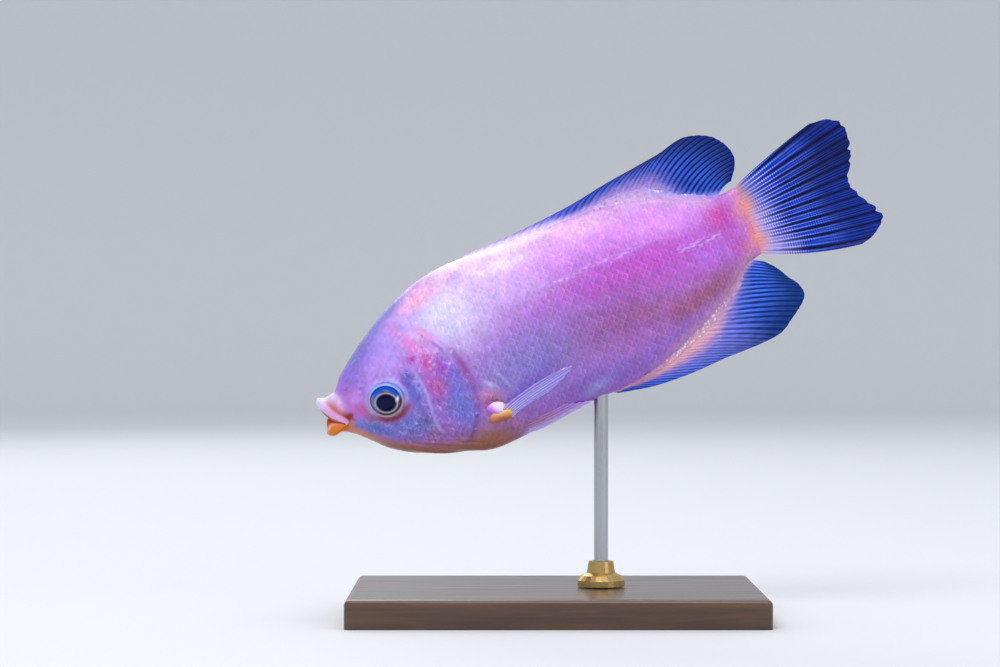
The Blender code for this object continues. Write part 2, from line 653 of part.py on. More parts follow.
def main():
    for old in list(bpy.data.objects):
        bpy.data.objects.remove(old)
    for name in ("kissing_gourami", "cutters"):
        bpy.context.scene.collection.children.link(bpy.data.collections.new(name))
    pose_empty = bpy.data.objects.new("fish_pose", None)
    pose_empty.location = (-SNOUT_AHEAD, 0, SNOUT_HEIGHT)
    pose_empty.rotation_euler = (0, -NOSE_DOWN, 0)
    bpy.data.collections["kissing_gourami"].objects.link(pose_empty)
    bpy.context.view_layer.update()
    pose = pose_empty.matrix_world.copy()
    for piece in fish(pose):
        piece.parent = pose_empty
    stand(pose, material("stand_wood", 70, 45, 30, 0.45), material("stand_steel", 175, 178, 182, 0.3, 1.0),
          material("stand_brass", 190, 160, 100, 0.35, 1.0))


main()
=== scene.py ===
"""Looks of a still, life-size kissing gourami on its display stand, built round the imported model.

The fish is shaped and coloured in its own level frame: x runs from the snout to the tail, y to its right
side and z to its back, in hundredths of its length (millimetres). Its left side faces the camera.
"""

import math

import bmesh
import bpy
import numpy as np
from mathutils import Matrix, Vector


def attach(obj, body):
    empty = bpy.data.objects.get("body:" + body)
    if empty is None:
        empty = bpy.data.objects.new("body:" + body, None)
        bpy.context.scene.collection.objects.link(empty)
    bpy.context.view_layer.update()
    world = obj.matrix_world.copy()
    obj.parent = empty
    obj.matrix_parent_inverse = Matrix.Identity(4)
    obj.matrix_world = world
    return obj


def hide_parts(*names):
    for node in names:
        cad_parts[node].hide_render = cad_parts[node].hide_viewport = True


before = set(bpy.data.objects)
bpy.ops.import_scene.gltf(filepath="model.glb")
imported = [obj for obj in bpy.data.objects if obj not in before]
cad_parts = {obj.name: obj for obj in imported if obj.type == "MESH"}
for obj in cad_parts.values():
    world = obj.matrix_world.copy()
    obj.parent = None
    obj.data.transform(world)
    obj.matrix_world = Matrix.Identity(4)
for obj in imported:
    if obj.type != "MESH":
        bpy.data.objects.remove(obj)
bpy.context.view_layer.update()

TURN = 2 * math.pi

# Pose and outlines, after the CAD source
UNIT = 0.001
NOSE_DOWN = math.radians(22.63)
SNOUT = (-0.050, 0.0, 0.0445)
BACK_LINE = [(0.8, -0.7), (1.6, 0.3), (2.8, 0.75), (4.3, 1.15), (6.6, 3.7), (8.9, 5.5), (13.7, 8.8),
             (20, 12.4), (25, 14.5), (30, 16), (37, 16.7), (50, 16.1), (60, 15.7), (70, 15.2),
             (80, 13.4), (85, 11.5), (90, 9.3), (94, 8.1), (98.4, 8.4)]
BELLY_LINE = [(0.8, -6.2), (1.6, -6.8), (2.8, -7.4), (5.1, -9), (7.5, -11.4), (10.2, -14.2),
              (14.5, -17.1), (19.5, -19.4), (24.6, -21.1), (29.7, -22.8), (34, -23.1), (45, -22.2),
              (53, -21.6), (62, -21.5), (70, -20), (80, -16.5), (85, -14), (90, -10.9), (94, -7.9),
              (98.4, -6.7)]
HALF_WIDTH = [(0.8, 1.3), (1.6, 2.2), (2.8, 2.9), (4.3, 3.5), (8, 5), (13.5, 6.5), (20, 7.8), (27, 8.6),
              (36, 8.9), (45, 8.5), (55, 7.8), (65, 6.7), (75, 5.4), (85, 4), (92, 3), (98.4, 1.4)]
WIDEST_LEVEL = [(0.8, -3.2), (4.3, -3.7), (13.5, -4.4), (25, -4.6), (36, -4), (60, -2.5), (85, -0.4),
                (98.4, 0.85)]
FULLNESS = [(0.8, 2.3), (13.5, 2.15), (36, 2.1), (60, 1.95), (98.4, 1.9)]
BODY_END = 98.4

# Head: (z, x) of the gill opening and of the ridge in front of its cover, the eyes and their hollow, (x, z,
# radius) of the nostrils, and the pitch of the folds of the throat
GILL_EDGE = [(-25, 24.2), (-20.4, 25.4), (-18.2, 27.7), (-15.4, 29.7), (-10.8, 31.1), (-5.7, 31.3),
             (-1.2, 30.2), (2.6, 28), (6, 25.6), (7.8, 23.2), (11, 21.8), (17, 21.2)]
CHEEK_RIDGE = [(-18, 24.4), (-16, 23), (-14.3, 22.2), (-10.8, 22.3), (-7, 22.7), (-3.7, 22.3),
               (0.5, 21.9), (4.8, 22.4), (6.3, 24.2)]
EYE_PLACE = (14.04, -4.75)
EYE_OPENING = 3.65
EYE_THICKNESS = 2.0
EYE_DEPTH = 1.2
EYE_YAW = 10
EYE_FLATNESS = 0.925              # height of the eye over its length, both as the camera sees them
EYE_RADIUS = EYE_OPENING / math.sqrt(1 - (EYE_DEPTH / EYE_THICKNESS) ** 2)
EYE_HOLLOW = 3.8
NOSTRILS = [(6.6, 0.4, 0.42), (9.6, -0.7, 0.5)]
THROAT_FOLDS = 1.15

# Mouth: at angles round it, where the skin ends behind the lip and the places of a path from there over
# the lip's groove, shoulder, crest, front and inner edge to the throat
MOUTH_STATIONS = [
    (90, 3.3, [(2.1, 0, 0.6), (1.2, 0, 0.85), (0.35, 0, 1.12), (-0.25, 0, 0.35), (-0.05, 0, -0.8),
               (1.1, 0, -1.7), (3.2, 0, -2.4)]),
    (50, 3.3, [(2.3, 1.75, -0.55), (1.5, 1.9, -0.6), (0.7, 1.85, -0.75), (0.2, 1.6, -1.5),
               (0.45, 1.2, -2.3), (1.5, 0.9, -2.6), (3.3, 0.6, -2.8)]),
    (12, 4.2, [(3.5, 2.75, -3.2), (2.9, 2.95, -3.4), (2.1, 2.85, -3.7), (1.5, 2.45, -4.1),
               (1.7, 2.0, -4.4), (2.5, 1.4, -4.0), (3.9, 0.8, -3.5)]),
    (-17, 5.7, [(5.1, 3.35, -5.75), (4.7, 3.4, -6.0), (4.3, 3.3, -6.15), (3.9, 3.0, -6.2),
                (3.9, 2.6, -6.0), (4.1, 2.0, -5.4), (4.6, 1.1, -4.6)]),
    (-45, 4.2, [(3.2, 2.35, -7.1), (2.5, 2.5, -6.9), (1.9, 2.4, -6.2), (1.7, 2.15, -5.3),
                (1.8, 1.8, -5.0), (1.9, 1.4, -4.4), (3.9, 0.9, -4.2)]),
    (-70, 3.3, [(2.1, 1.3, -7.3), (1.2, 1.5, -7.5), (0.4, 1.6, -6.9), (0.2, 1.45, -5.9),
                (0.55, 1.2, -5.3), (1.0, 0.9, -3.9), (3.5, 0.6, -3.6)]),
    (-90, 3.0, [(1.85, 0, -7.2), (1.0, 0, -7.6), (0, 0, -7.25), (-0.62, 0, -6.55), (-0.35, 0, -5.9),
                (0.75, 0, -3.6), (3.3, 0, -3.2)]),
]
THROAT = (4.3, 0, -3.2)
MUZZLE_END = 7.5
LIP_RINGS = 36
MUZZLE_RINGS = 14
SKIN_STEPS = [(32, 0.24), (BODY_END, 0.5)]        # up to this x, rings this far apart
SKIN_SIDES = 288
CHART = 125                                       # hundredths across the unwrap of the skin

# Fins: at rays counted from the front or the top, root x and tip (x, z); at shares of a paired fin's width,
# root and tip as places, or for the pelvic fins as x and angle on the body
DORSAL_ROOTS = [(0, 39.2), (10, 59), (17, 71.2), (21, 76.8), (30.6, 86.3), (38, 94.3)]
DORSAL_TIPS = [(0, 41.5, 17.05), (5, 52, 17.2), (10, 64.5, 18.1), (14, 74.5, 19.6), (17, 81.5, 20.4),
               (20, 87, 21.1), (23, 92.3, 22.2), (26, 97, 20.7), (28.5, 99.6, 18.3), (32, 100.8, 15),
               (35, 100.2, 12.5), (38, 98.2, 9.8)]
ANAL_ROOTS = [(0, 57.5), (8, 64), (17.6, 74), (22.6, 80), (30.8, 90), (38, 95.6)]
ANAL_TIPS = [(0, 59.2, -22.2), (4, 67, -23.8), (8, 75, -24.3), (13, 83.5, -24.1), (18, 90.5, -24.2),
             (21, 95.8, -23.7), (23, 98.9, -21.9), (25.5, 101.6, -20.1), (27.5, 103.3, -18.4),
             (30.5, 103.2, -15.9), (33.5, 101.6, -13.4), (36.5, 100, -10.6), (38, 98.2, -8.5)]
TAIL_TIPS = [(0, 115.8, 14.1), (0.3, 118, 14.6), (0.6, 120.4, 14.5), (0.9, 122.6, 13.7),
             (1.4, 124.3, 12.3), (2, 124.8, 10.3), (4, 123.6, 5.5), (5, 122.4, 2.9), (6, 120.9, 0.2),
             (7, 121.5, -2.2), (9, 124, -6.6), (10, 124.7, -9), (10.7, 124.1, -10.4), (11.2, 122.4, -11.9),
             (11.6, 120.6, -12.7), (12, 118.4, -13)]
TAIL_SWAY = 1.6
MEDIAN_RAYS = 38
TAIL_RAYS = 12
PECTORAL_ROOTS = [(0, 36.8, 6.4, -17.9), (1, 35.6, 7.6, -15.6)]
PECTORAL_TIPS = [(0, 45.6, 10, -16.1), (0.3, 49.4, 10.9, -14.7), (0.6, 52, 11.9, -13.1),
                 (0.8, 50.9, 12.6, -12.8), (1, 46.8, 13.2, -13)]
PECTORAL_RAYS = 6
PELVIC_ROOTS = [(0, 36.4, -80), (1, 38.6, -61)]
PELVIC_TIPS = [(0, 51, -79), (0.3, 53.2, -76), (1, 48.5, -63)]
PELVIC_RAYS = 6
SIDEWAYS = np.array((0.0, 1.0, 0.0))              # normal of the fins that stand in the middle

# Fleshy lobes at the root of a pectoral fin: place, radii, slant in degrees, colours before and behind;
# the one before lies low and is darker partly as painted shade beneath the lobe
PECTORAL_LOBES = [
    ((34.3, 6.8, -15.0), (2.5, 1.4, 1.5), 34, (212, 138, 232), (244, 226, 255)),
    ((35.1, 6.2, -16.55), (3.6, 1.8, 1.7), -8, (194, 118, 88), (255, 208, 124)),
]

# Scales: pitch along the body and across it, size of one scale, how far its edge stands out, how loosely it
# sits, how much one differs from the next in brightness, and rows and lanes of its grid
FLANK_SCALES = dict(pitch=(1.5, 0.82), size=(2.4, 1.95), lift=0.06, loose=0.07, contrast=0.09, grid=(4, 8))
HEAD_SCALES = dict(pitch=(1.0, 0.62), size=(1.6, 1.42), lift=0.045, loose=0.22, contrast=0.28, grid=(4, 8))
SHEATH_SCALES = dict(pitch=(0.62, 0.34), size=(0.95, 0.74), lift=0.022, loose=0.14, contrast=0.1, grid=(3, 6))
SCALE_THICKNESS = 0.045
ROOT_DEPTH = 0.035                # how far a scale's root lies in the skin
SHEATH_LEAN = math.radians(38)    # slant of the scales over the fin roots
SCALE_PATCH = 0.003               # width of one scale on the unwrap of the skin

random = np.random.default_rng(7)


def smooth(points, at, column=1):
    """Values at places on the smooth curve through points, read from one column of them."""
    table = np.array(points, float)
    knots, values = table[:, 0], table[:, column]
    last = len(knots) - 1
    steps = np.arange(last + 1)
    after, before = np.minimum(steps + 1, last), np.maximum(steps - 1, 0)
    slopes = (values[after] - values[before]) / (knots[after] - knots[before])
    at = np.clip(np.asarray(at, float), knots[0], knots[-1])
    k = np.clip(np.searchsorted(knots, at) - 1, 0, last - 1)
    width, rise = knots[k + 1] - knots[k], values[k + 1] - values[k]
    share = (at - knots[k]) / width
    bend_in = slopes[k] * width - rise
    bend_out = rise - slopes[k + 1] * width
    return values[k] + share * rise + share * (1 - share) * ((1 - share) * bend_in + share * bend_out)


def ramp(value, low, high):
    """0 below low, 1 above high and smooth between them."""
    share = np.clip((value - low) / (high - low), 0, 1)
    return share * share * (3 - 2 * share)


def ridge(distance, width):
    """1 on a line and falling off smoothly at this distance from it."""
    return np.exp(-(distance / width) ** 2)


def lerp(first, second, share):
    return first + (second - first) * share


def unit(vectors):
    return vectors / np.maximum(np.linalg.norm(vectors, axis=-1, keepdims=True), 1e-9)


def fall(value, low, high):
    """1 below low, 0 above high and smooth between them."""
    return 1 - ramp(value, low, high)


def window(value, low, rise_end, fall_start, high):
    """1 in the middle of a stretch and smooth down to 0 at both its ends."""
    return ramp(value, low, rise_end) * fall(value, fall_start, high)


def columns(*parts):
    """Places, directions or colours from their parts, which stretch to one shape."""
    return np.stack(np.broadcast_arrays(*parts), -1)


def smooth_places(points, at):
    """Places on the smooth curve through points given as (position, coordinates)."""
    return np.stack([smooth(points, at, column) for column in range(1, len(points[0]))], -1)


def to_world(points):
    """Places in the fish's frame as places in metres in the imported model's frame."""
    cos, sin = math.cos(NOSE_DOWN), math.sin(NOSE_DOWN)
    x, y, z = np.moveaxis(np.asarray(points, float), -1, 0) * UNIT
    return columns(SNOUT[0] + x * cos - z * sin, SNOUT[1] + y, SNOUT[2] + x * sin + z * cos)


def linear(red, green, blue):
    """A linear colour from a display colour of 0 to 255 a channel."""
    return (np.array((red, green, blue)) / 255) ** 2.2


def on_section(x, angle):
    """Places on the bare body: angle 0 is its right side and 90 degrees its back."""
    power = 2 / smooth(FULLNESS, x)
    middle = smooth(WIDEST_LEVEL, x)
    edge = np.where(np.sin(angle) > 0, smooth(BACK_LINE, x), smooth(BELLY_LINE, x))
    cos = np.cos(angle)
    y = smooth(HALF_WIDTH, x) * np.sign(cos) * np.abs(cos) ** power
    return columns(x, y, middle + (edge - middle) * np.abs(np.sin(angle)) ** power)


def section_normals(x, angle):
    along = on_section(x + 0.2, angle) - on_section(x - 0.2, angle)
    around = on_section(x, angle + 0.01) - on_section(x, angle - 0.01)
    return unit(np.cross(around, along))


def surface_half(x, z):
    """Half the body's width at a side-view place."""
    middle = smooth(WIDEST_LEVEL, x)
    edge = np.where(z > middle, smooth(BACK_LINE, x), smooth(BELLY_LINE, x))
    share = np.clip((z - middle) / (edge - middle), 0, 1)
    fullness = smooth(FULLNESS, x)
    return smooth(HALF_WIDTH, x) * (1 - share ** fullness) ** (1 / fullness)


def past_line(line, x, z):
    """Distance behind a line given as (z, x), measured square to it."""
    slope = (smooth(line, z + 0.3) - smooth(line, z - 0.3)) / 0.6
    return (x - smooth(line, z)) / np.sqrt(1 + slope ** 2)


def levelled(across, up):
    """A side-view direction of the fish's frame, turned to the photo's level and upright."""
    cos, sin = math.cos(NOSE_DOWN), math.sin(NOSE_DOWN)
    return across * cos - up * sin, across * sin + up * cos


def eye_distance(x, z):
    level, height = levelled((x - EYE_PLACE[0]) / math.cos(math.radians(EYE_YAW)), z - EYE_PLACE[1])
    return np.hypot(level, height / EYE_FLATNESS)


def ripples(x, z, pitch, seed):
    """Soft unevenness between -1 and 1, from a few crossed waves."""
    draw = np.random.default_rng(seed)
    total, waves = 0, 7
    for _ in range(waves):
        way, shift, size = draw.uniform(0, TURN), draw.uniform(0, TURN), draw.uniform(0.6, 1.5)
        total = total + np.sin((x * math.cos(way) + z * math.sin(way)) * TURN / (pitch * size) + shift)
    return total / waves


def veins(x, z):
    """Fine branching lines over the cheek and gill cover, 1 on a line."""
    warped = x + 0.9 * ripples(x, z, 5, 61), z + 0.9 * ripples(x, z, 5, 62)
    lines = np.maximum(ridge(ripples(*warped, 5.2, 63), 0.035), 0.8 * ridge(ripples(*warped, 4.1, 64), 0.03))
    lines = lines * ramp(ripples(x, z, 3.4, 65), -0.25, 0.25)
    area = fall(past_line(GILL_EDGE, x, z), -1.2, -0.3) * ramp(eye_distance(x, z), 4.8, 5.6)
    area = area * (1 - ramp(z, 4.5, 6.5) * fall(x, 19, 21))
    area = area * (1 - 0.75 * ramp(past_line(CHEEK_RIDGE, x, z), 1, 3) * fall(z, -6, -2))
    return lines * area * ramp(x, 8, 12) * fall(z, 6.5, 9) * ramp(z - smooth(BELLY_LINE, x), 2.5, 4)


def relief(places):
    """How far the skin stands out of the bare body at these places."""
    x, z = places[..., 0], places[..., 2]
    over_belly = z - smooth(BELLY_LINE, x)
    behind = past_line(GILL_EDGE, x, z)
    open_gill = window(z, -20.5, -18.5, 2.5, 8)
    bone = past_line(CHEEK_RIDGE, x, z)
    bone_span = ramp(z, -17, -14) * (1 - 0.8 * ramp(z, -4, 1))
    cover = ramp(bone, -0.4, 2.2) * fall(behind, -0.22, 0.12) * open_gill
    lift = cover * (0.4 + 0.1 * ripples(x, z, 3.1, 3))
    lift = lift - 0.14 * ridge(behind - 0.35, 0.45) * open_gill * (1 - 0.8 * ramp(z, -3, 3))
    lift = lift + (0.16 * ridge(bone + 0.5, 0.5) - 0.2 * ridge(bone - 0.15, 0.3)) * bone_span
    lift = lift + 0.07 * veins(x, z) * ramp(x, 14, 17)
    lift = lift + 0.3 * spot(x, z, (33.6, -12.2), (2.6, 1.5), -25)
    lift = lift - 0.45 * spot(x, z, (35, -14.1), (1.9, 0.7), -50)
    eye = eye_distance(x, z)
    lift = lift - np.sqrt(np.clip(1 - (eye / EYE_HOLLOW) ** 2, 0, 1))
    lift = lift + 0.34 * ridge(eye - 4.2, 0.42) - 0.1 * ridge(eye - 5.2, 0.5)
    for nostril_x, nostril_z, radius in NOSTRILS:
        away = np.hypot(x - nostril_x, z - nostril_z)
        lift = lift - 0.42 * ridge(away, 0.75 * radius) + 0.08 * ridge(away - 1.6 * radius, 0.5 * radius)
    lift = lift + 0.05 * window(x, 3, 6, 20, 30) * ripples(x, z, 1.7, 5)
    throat = window(x, 12, 18, 27, 31) * fall(over_belly, 1.5, 4.5)
    lift = lift + 0.09 * throat * np.sin((over_belly + 0.12 * x) * TURN / THROAT_FOLDS)
    return lift + 0.07 * window(x, 33, 40, 92, 97) * ripples(x, z, 9, 8)


def on_skin(x, angle, height=0.0):
    """Places on the skin, or at a height over it."""
    bare = on_section(x, angle)
    return bare + section_normals(x, angle) * (relief(bare) + height)[..., None]


# Markings, in display colours. Each spot has a name, a place, its radii, a slant in degrees, a colour and a
# strength. Later spots lie over earlier ones.
FLANK = (182, 114, 216)
SPOTS = [
    ("rear flank magenta", (77, 1), (19, 9), -4, (192, 84, 208), 0.9),
    ("magenta stripe", (72, 0.6), (22, 2.8), 0, (192, 62, 190), 0.5),
    ("lower flank violet", (44, -9.5), (17, 8.6), 4, (130, 118, 198), 0.92),
    ("rear lower flank", (66, -8.2), (13, 6.4), 0, (142, 76, 148), 0.78),
    ("brown tint of the lower flank", (71, -8.6), (8, 2.4), -6, (160, 92, 140), 0.5),
    ("brown streak over the anal fin", (84.5, -9.7), (10.5, 3.1), 15, (154, 84, 120), 0.92),
    ("brown core of the streak", (77.8, -11.6), (3.4, 1.7), 8, (148, 76, 100), 0.55),
    ("violet over the anal fin", (70, -17), (12, 2.4), 14, (146, 92, 196), 0.8),
    ("belly violet", (56, -18), (12, 3), 0, (130, 98, 202), 0.75),
    ("blue scales of the belly", (55.5, -19.3), (3, 1.2), 8, (160, 162, 240), 0.75),
    # pale skin of the shoulder, partly a painted highlight of the light from above
    ("pale shoulder and painted highlight", (31.5, 6.8), (11, 8), 4, (222, 210, 252), 0.97),
    ("shoulder rear", (47, 7.5), (8, 4.6), -6, (218, 184, 250), 0.65),
    ("upper flank pink", (63, 9.5), (15, 4), -2, (222, 142, 240), 0.8),
    ("peach of the back", (65, 13.6), (8, 2.4), -3, (238, 184, 222), 0.75),
    ("upper rear pink", (81, 7.4), (10, 3.6), -10, (226, 148, 246), 0.9),
    ("tail stalk violet", (88, -2.5), (5, 3.5), 0, (188, 104, 224), 0.7),
    ("tail stalk magenta", (92.8, 4), (3.6, 3.5), 0, (192, 52, 158), 0.82),
    ("tail stalk rose", (94.3, -3), (2.2, 3), 0, (196, 78, 180), 0.65),
    ("nape", (19, 7.6), (9, 4.6), 30, (172, 150, 238), 0.9),
    ("nape pink", (28, 12.4), (6, 1.9), 16, (250, 176, 214), 0.85),
    ("forehead", (10, 3.2), (7, 3.6), 42, (130, 104, 202), 0.95),
    ("brow", (15.2, 2), (4.5, 2.6), 10, (186, 146, 232), 0.85),
    ("snout pink", (7.2, -1.6), (2.4, 2.2), 0, (186, 108, 184), 0.75),
    ("muzzle rose", (8.4, -4.6), (2.4, 1.8), -30, (184, 86, 146), 0.7),
    ("cheek", (16.5, -11.4), (7, 3.6), -22, (100, 104, 192), 0.96),
    ("front cheek", (9.2, -9.2), (4.6, 1.5), -36, (84, 108, 192), 0.97),
    ("cheek behind the eye", (20, -5.8), (1.9, 5), 0, (96, 100, 202), 0.95),
    ("dark patch behind the eye", (19.3, -2.4), (1.2, 1.8), -10, (72, 66, 168), 0.7),
    ("throat", (14, -17), (9, 2), -24, (164, 112, 88), 0.9),
    ("rose tint of the lower cheek", (20.5, -15.5), (2.6, 1.7), 20, (158, 98, 140), 0.6),
    ("breast", (29.5, -20.5), (8, 3.7), -6, (168, 118, 96), 0.97),
    ("gill cover", (27, -7), (4.2, 8), 0, (128, 100, 200), 0.92),
    ("gill cover blue", (28, -12), (2.8, 4.8), 0, (100, 110, 208), 0.92),
    ("gill cover top", (25, 1.8), (2.8, 2.8), 0, (214, 144, 226), 0.8),
    ("gill cover magenta", (24.6, -0.8), (2.1, 2.2), -15, (196, 96, 208), 0.9),
    ("gill cover rose", (24.7, -6), (1.9, 2.8), 8, (190, 82, 172), 0.9),
    ("gill cover violet behind", (27.2, -2.8), (1.4, 2.3), 25, (158, 66, 188), 0.85),
    ("gill cover rear", (29.6, -5.4), (1.5, 3.2), 8, (112, 96, 202), 0.75),
    ("magenta spot behind the brow", (21.8, 1.2), (1.2, 1.2), 0, (190, 66, 192), 0.85),
    ("dark fleck of that spot", (22.4, 1.1), (0.5, 0.45), 0, (142, 34, 150), 0.7),
    ("coral patch of the gill cover", (24.8, -0.8), (0.9, 1.6), -10, (210, 78, 152), 0.7),
    ("dark fleck of the gill cover", (24.1, -5.7), (0.6, 0.6), 0, (166, 48, 138), 0.6),
    ("rose of the shoulder groove", (22.9, 4.2), (1.3, 2.8), 20, (224, 116, 192), 0.75),
    ("rose edge of the nape", (20.6, 7.6), (1.2, 2.6), 11, (218, 134, 208), 0.6),
    ("rose arc over the gill cover", (26.3, 4.9), (2.6, 0.9), -50, (226, 132, 204), 0.7),
    # dark violet line along the gill cover's edge, partly painted shade under the edge
    ("dark edge and painted shade along the gill cover", (28, 1.6), (2.4, 0.45), -60, (124, 74, 178), 0.6),
    ("brown fleck of the cheek", (19.9, -11.6), (0.7, 0.9), 0, (84, 52, 112), 0.7),
    ("rose skin behind the gill cover", (31.3, -5.2), (1, 3.6), 10, (160, 90, 164), 0.85),
    ("blue end of the cheek", (6.9, -7.7), (1.6, 1.2), -30, (116, 118, 204), 0.75),
    ("pale violet of the snout", (8.2, -1.9), (1.7, 1.5), 20, (186, 150, 242), 0.6),
    ("red-brown before the eye", (10, -6.8), (1.3, 1.5), 20, (124, 76, 84), 0.75),
    ("pale rim over the eye", (16.3, -1.3), (1.9, 0.9), -30, (170, 174, 252), 0.6),
    # pale skin of the upper flank, partly a painted highlight of the light from above
    ("pale back and painted highlight", (46, 12.7), (7.5, 2.2), -4, (248, 224, 253), 0.7),
    ("pale skin before the pelvic fin", (37, -21.2), (2, 1), 0, (162, 138, 196), 0.55),
    ("white muzzle", (3.9, -0.6), (1.1, 1.9), 20, (220, 212, 250), 0.9),
    ("tan hump over the pectoral root", (34, -12.3), (3, 1.8), -25, (190, 124, 164), 0.8),
    ("magenta before the pectoral root", (32.9, -14.3), (0.9, 1.5), 0, (176, 52, 160), 0.85),
    # dark red in the crevice over the pectoral root, partly painted shade in the recess
    ("crevice over the pectoral root with painted shade", (35.1, -14.2), (1.9, 0.75), -50, (126, 34, 44), 0.95),
    ("pale fleck over the pectoral root", (35.1, -9.9), (1.3, 0.5), -50, (196, 194, 252), 0.8),
    # dark red at the corner of the mouth, partly painted shade in the crease
    ("red corner of the mouth with painted shade", (5.75, -4.8), (0.65, 0.5), -30, (142, 34, 8), 1.0),
    ("tan streak over the pelvic fin", (42.5, -20.9), (4.6, 0.75), 0, (176, 110, 130), 0.8),
]


def spot(x, z, place, radii, slant):
    turn = math.radians(slant)
    across, up = x - place[0], z - place[1]
    along = (across * math.cos(turn) + up * math.sin(turn)) / radii[0]
    over = (up * math.cos(turn) - across * math.sin(turn)) / radii[1]
    return np.exp(-(along ** 2 + over ** 2) ** 1.2)


def painted(base, *coats):
    """Linear colours of a base under coats of (display colour, strength), one over the other.

    The base is one display colour or linear colours.
    """
    colours = linear(*base) if isinstance(base, tuple) else base
    for colour, mask in coats:
        colours = colours + (linear(*colour) - colours) * np.clip(mask, 0, 1)[..., None]
    return colours


def tail_root_lobes(z):
    """Strength of the two peach lobes at the root of the tail fin."""
    return np.clip(0.35 + 0.65 * ridge(z - 3.6, 2.2) + 0.65 * ridge(z + 3.2, 3), 0, 1)


def edge_coats(x, below_back, over_belly):
    """Coats along the back, the jaw, the throat and the belly; the pale band on the back is partly a painted
    highlight.
    """
    back = fall(below_back, 0.4, 3.6)
    jaw = fall(x, 7, 10.5)
    belly = fall(over_belly, 0.8, 3.8 - 1.1 * jaw)
    # pale band along the back, partly a painted highlight of the light from above
    return [((255, 226, 246), 0.95 * back * window(x, 28, 38, 52, 66)),
            ((220, 172, 222), 0.7 * back * window(x, 70, 76, 90, 95)),
            ((116, 118, 192), 0.9 * back * window(x, 6, 12, 21, 27)),
            ((170, 116, 96), 0.9 * belly * window(x, 3, 5, 32, 40)),
            ((206, 130, 98), 0.8 * belly * jaw * ramp(x, 3, 5)),
            ((192, 142, 172), 0.75 * fall(over_belly, 0.3, 2.6) * window(x, 66, 76, 95, 98))]


def flank_coats(x, z, below_back, over_belly):
    """Coats on the root of the tail fin, the muscle of the flank and its lateral line."""
    peach = ramp(x + 1.6 * ripples(x, z, 5.5, 24), 94.8, 98.2) * tail_root_lobes(z)
    line = 3.1 + 0.5 * ripples(x, z, 9, 25)
    blotches = ridge(z - line, 0.9) * ramp(ripples(x, z, 2.6, 26), 0.0, 0.35) * window(x, 52, 58, 84, 88)
    muscle = window(x, 52, 66, 88, 94) * ramp(below_back, 5, 10) * ramp(over_belly, 3, 8)
    tone = ripples(x, 1.5 * z, 5.5, 71) + 0.6 * ripples(x, z, 2.4, 72)
    row = ridge(z - line - 1.5, 0.45) * window(x, 50, 54, 74, 78)
    row = row + ridge(z - 0.4, 0.7) * window(x, 80, 83, 90, 93)
    dashes = ramp(ripples(x, 2 * z, 1.7, 27), -0.1, 0.2)
    return [((232, 138, 132), 0.95 * peach),
            ((198, 60, 176), 0.35 * blotches),
            ((186, 62, 182), 0.2 * muscle * ramp(tone, 0.0, 0.7)),
            ((152, 108, 216), 0.22 * muscle * ramp(-tone, 0.0, 0.7)),
            ((216, 194, 253), 0.6 * dashes * row)]


def gill_coats(x, z):
    """Coats on the fold over the pectoral root and in the gill opening, where a darker line is painted shade.
    """
    fold = ridge(x - 37 + 0.42 * (z + 7.4), 0.3) * window(z, -12.6, -11.6, -8, -6.8)
    gill = ridge(past_line(GILL_EDGE, x, z) - 0.45, 0.5) * window(z, -20, -17, -2, 2)
    return [((186, 184, 246), 0.55 * fold),
            # painted shade: darker violet in the groove behind the gill cover's edge
            ((128, 72, 160), (0.5 + 0.4 * ripples(x, z, 4, 28)) * gill)]


def bone_coats(x, z):
    """Coats on the bone line of the cheek and in rings round the eye."""
    bone = ridge(past_line(CHEEK_RIDGE, x, z) + 0.4, 0.34) * window(z, -16.5, -14, -3, 0)
    eye = eye_distance(x, z)
    under = ramp(-(z - EYE_PLACE[1]) / np.maximum(eye, 0.1), 0.25, 0.8)
    return [((182, 160, 240), 0.75 * bone),
            ((150, 62, 62), 0.75 * ridge(eye - 4.8, 0.5) * under),
            ((122, 46, 22), 0.95 * ridge(eye - 4.2, 0.45) * under),
            ((150, 168, 232), 0.6 * ridge(eye - 4.3, 0.5) * (1 - under))]


def markings(places):
    """Linear colours of the skin at these places, alike on both sides."""
    x, z = places[..., 0], places[..., 2]
    below_back, over_belly = smooth(BACK_LINE, x) - z, z - smooth(BELLY_LINE, x)
    spots = [(colour, strength * spot(x, z, place, radii, slant))
             for _, place, radii, slant, colour, strength in SPOTS]
    colours = painted(FLANK, *spots, *edge_coats(x, below_back, over_belly),
                      *flank_coats(x, z, below_back, over_belly), *gill_coats(x, z))
    cover = ramp(past_line(CHEEK_RIDGE, x, z), -0.5, 1.5)
    vein_colour = lerp(linear(164, 172, 242), linear(216, 168, 236), cover[..., None])
    colours = lerp(colours, vein_colour, (0.8 * veins(x, z))[..., None])
    colours = painted(colours, *bone_coats(x, z))
    brow = ramp(z, 0, 2.5) * fall(x, 18, 20)
    bony = (1 - brow) * ramp(x, 10, 14) * fall(past_line(GILL_EDGE, x, z), -1, 0)
    bony = bony * fall(z, 4, 8) * ramp(over_belly, 2, 4)
    cloud = 1 + 0.1 * ripples(x, z, 4.2, 21) + (0.12 + 0.16 * bony) * ripples(x, z, 1.5, 22)
    return np.clip(colours * cloud[..., None], 0, 1)


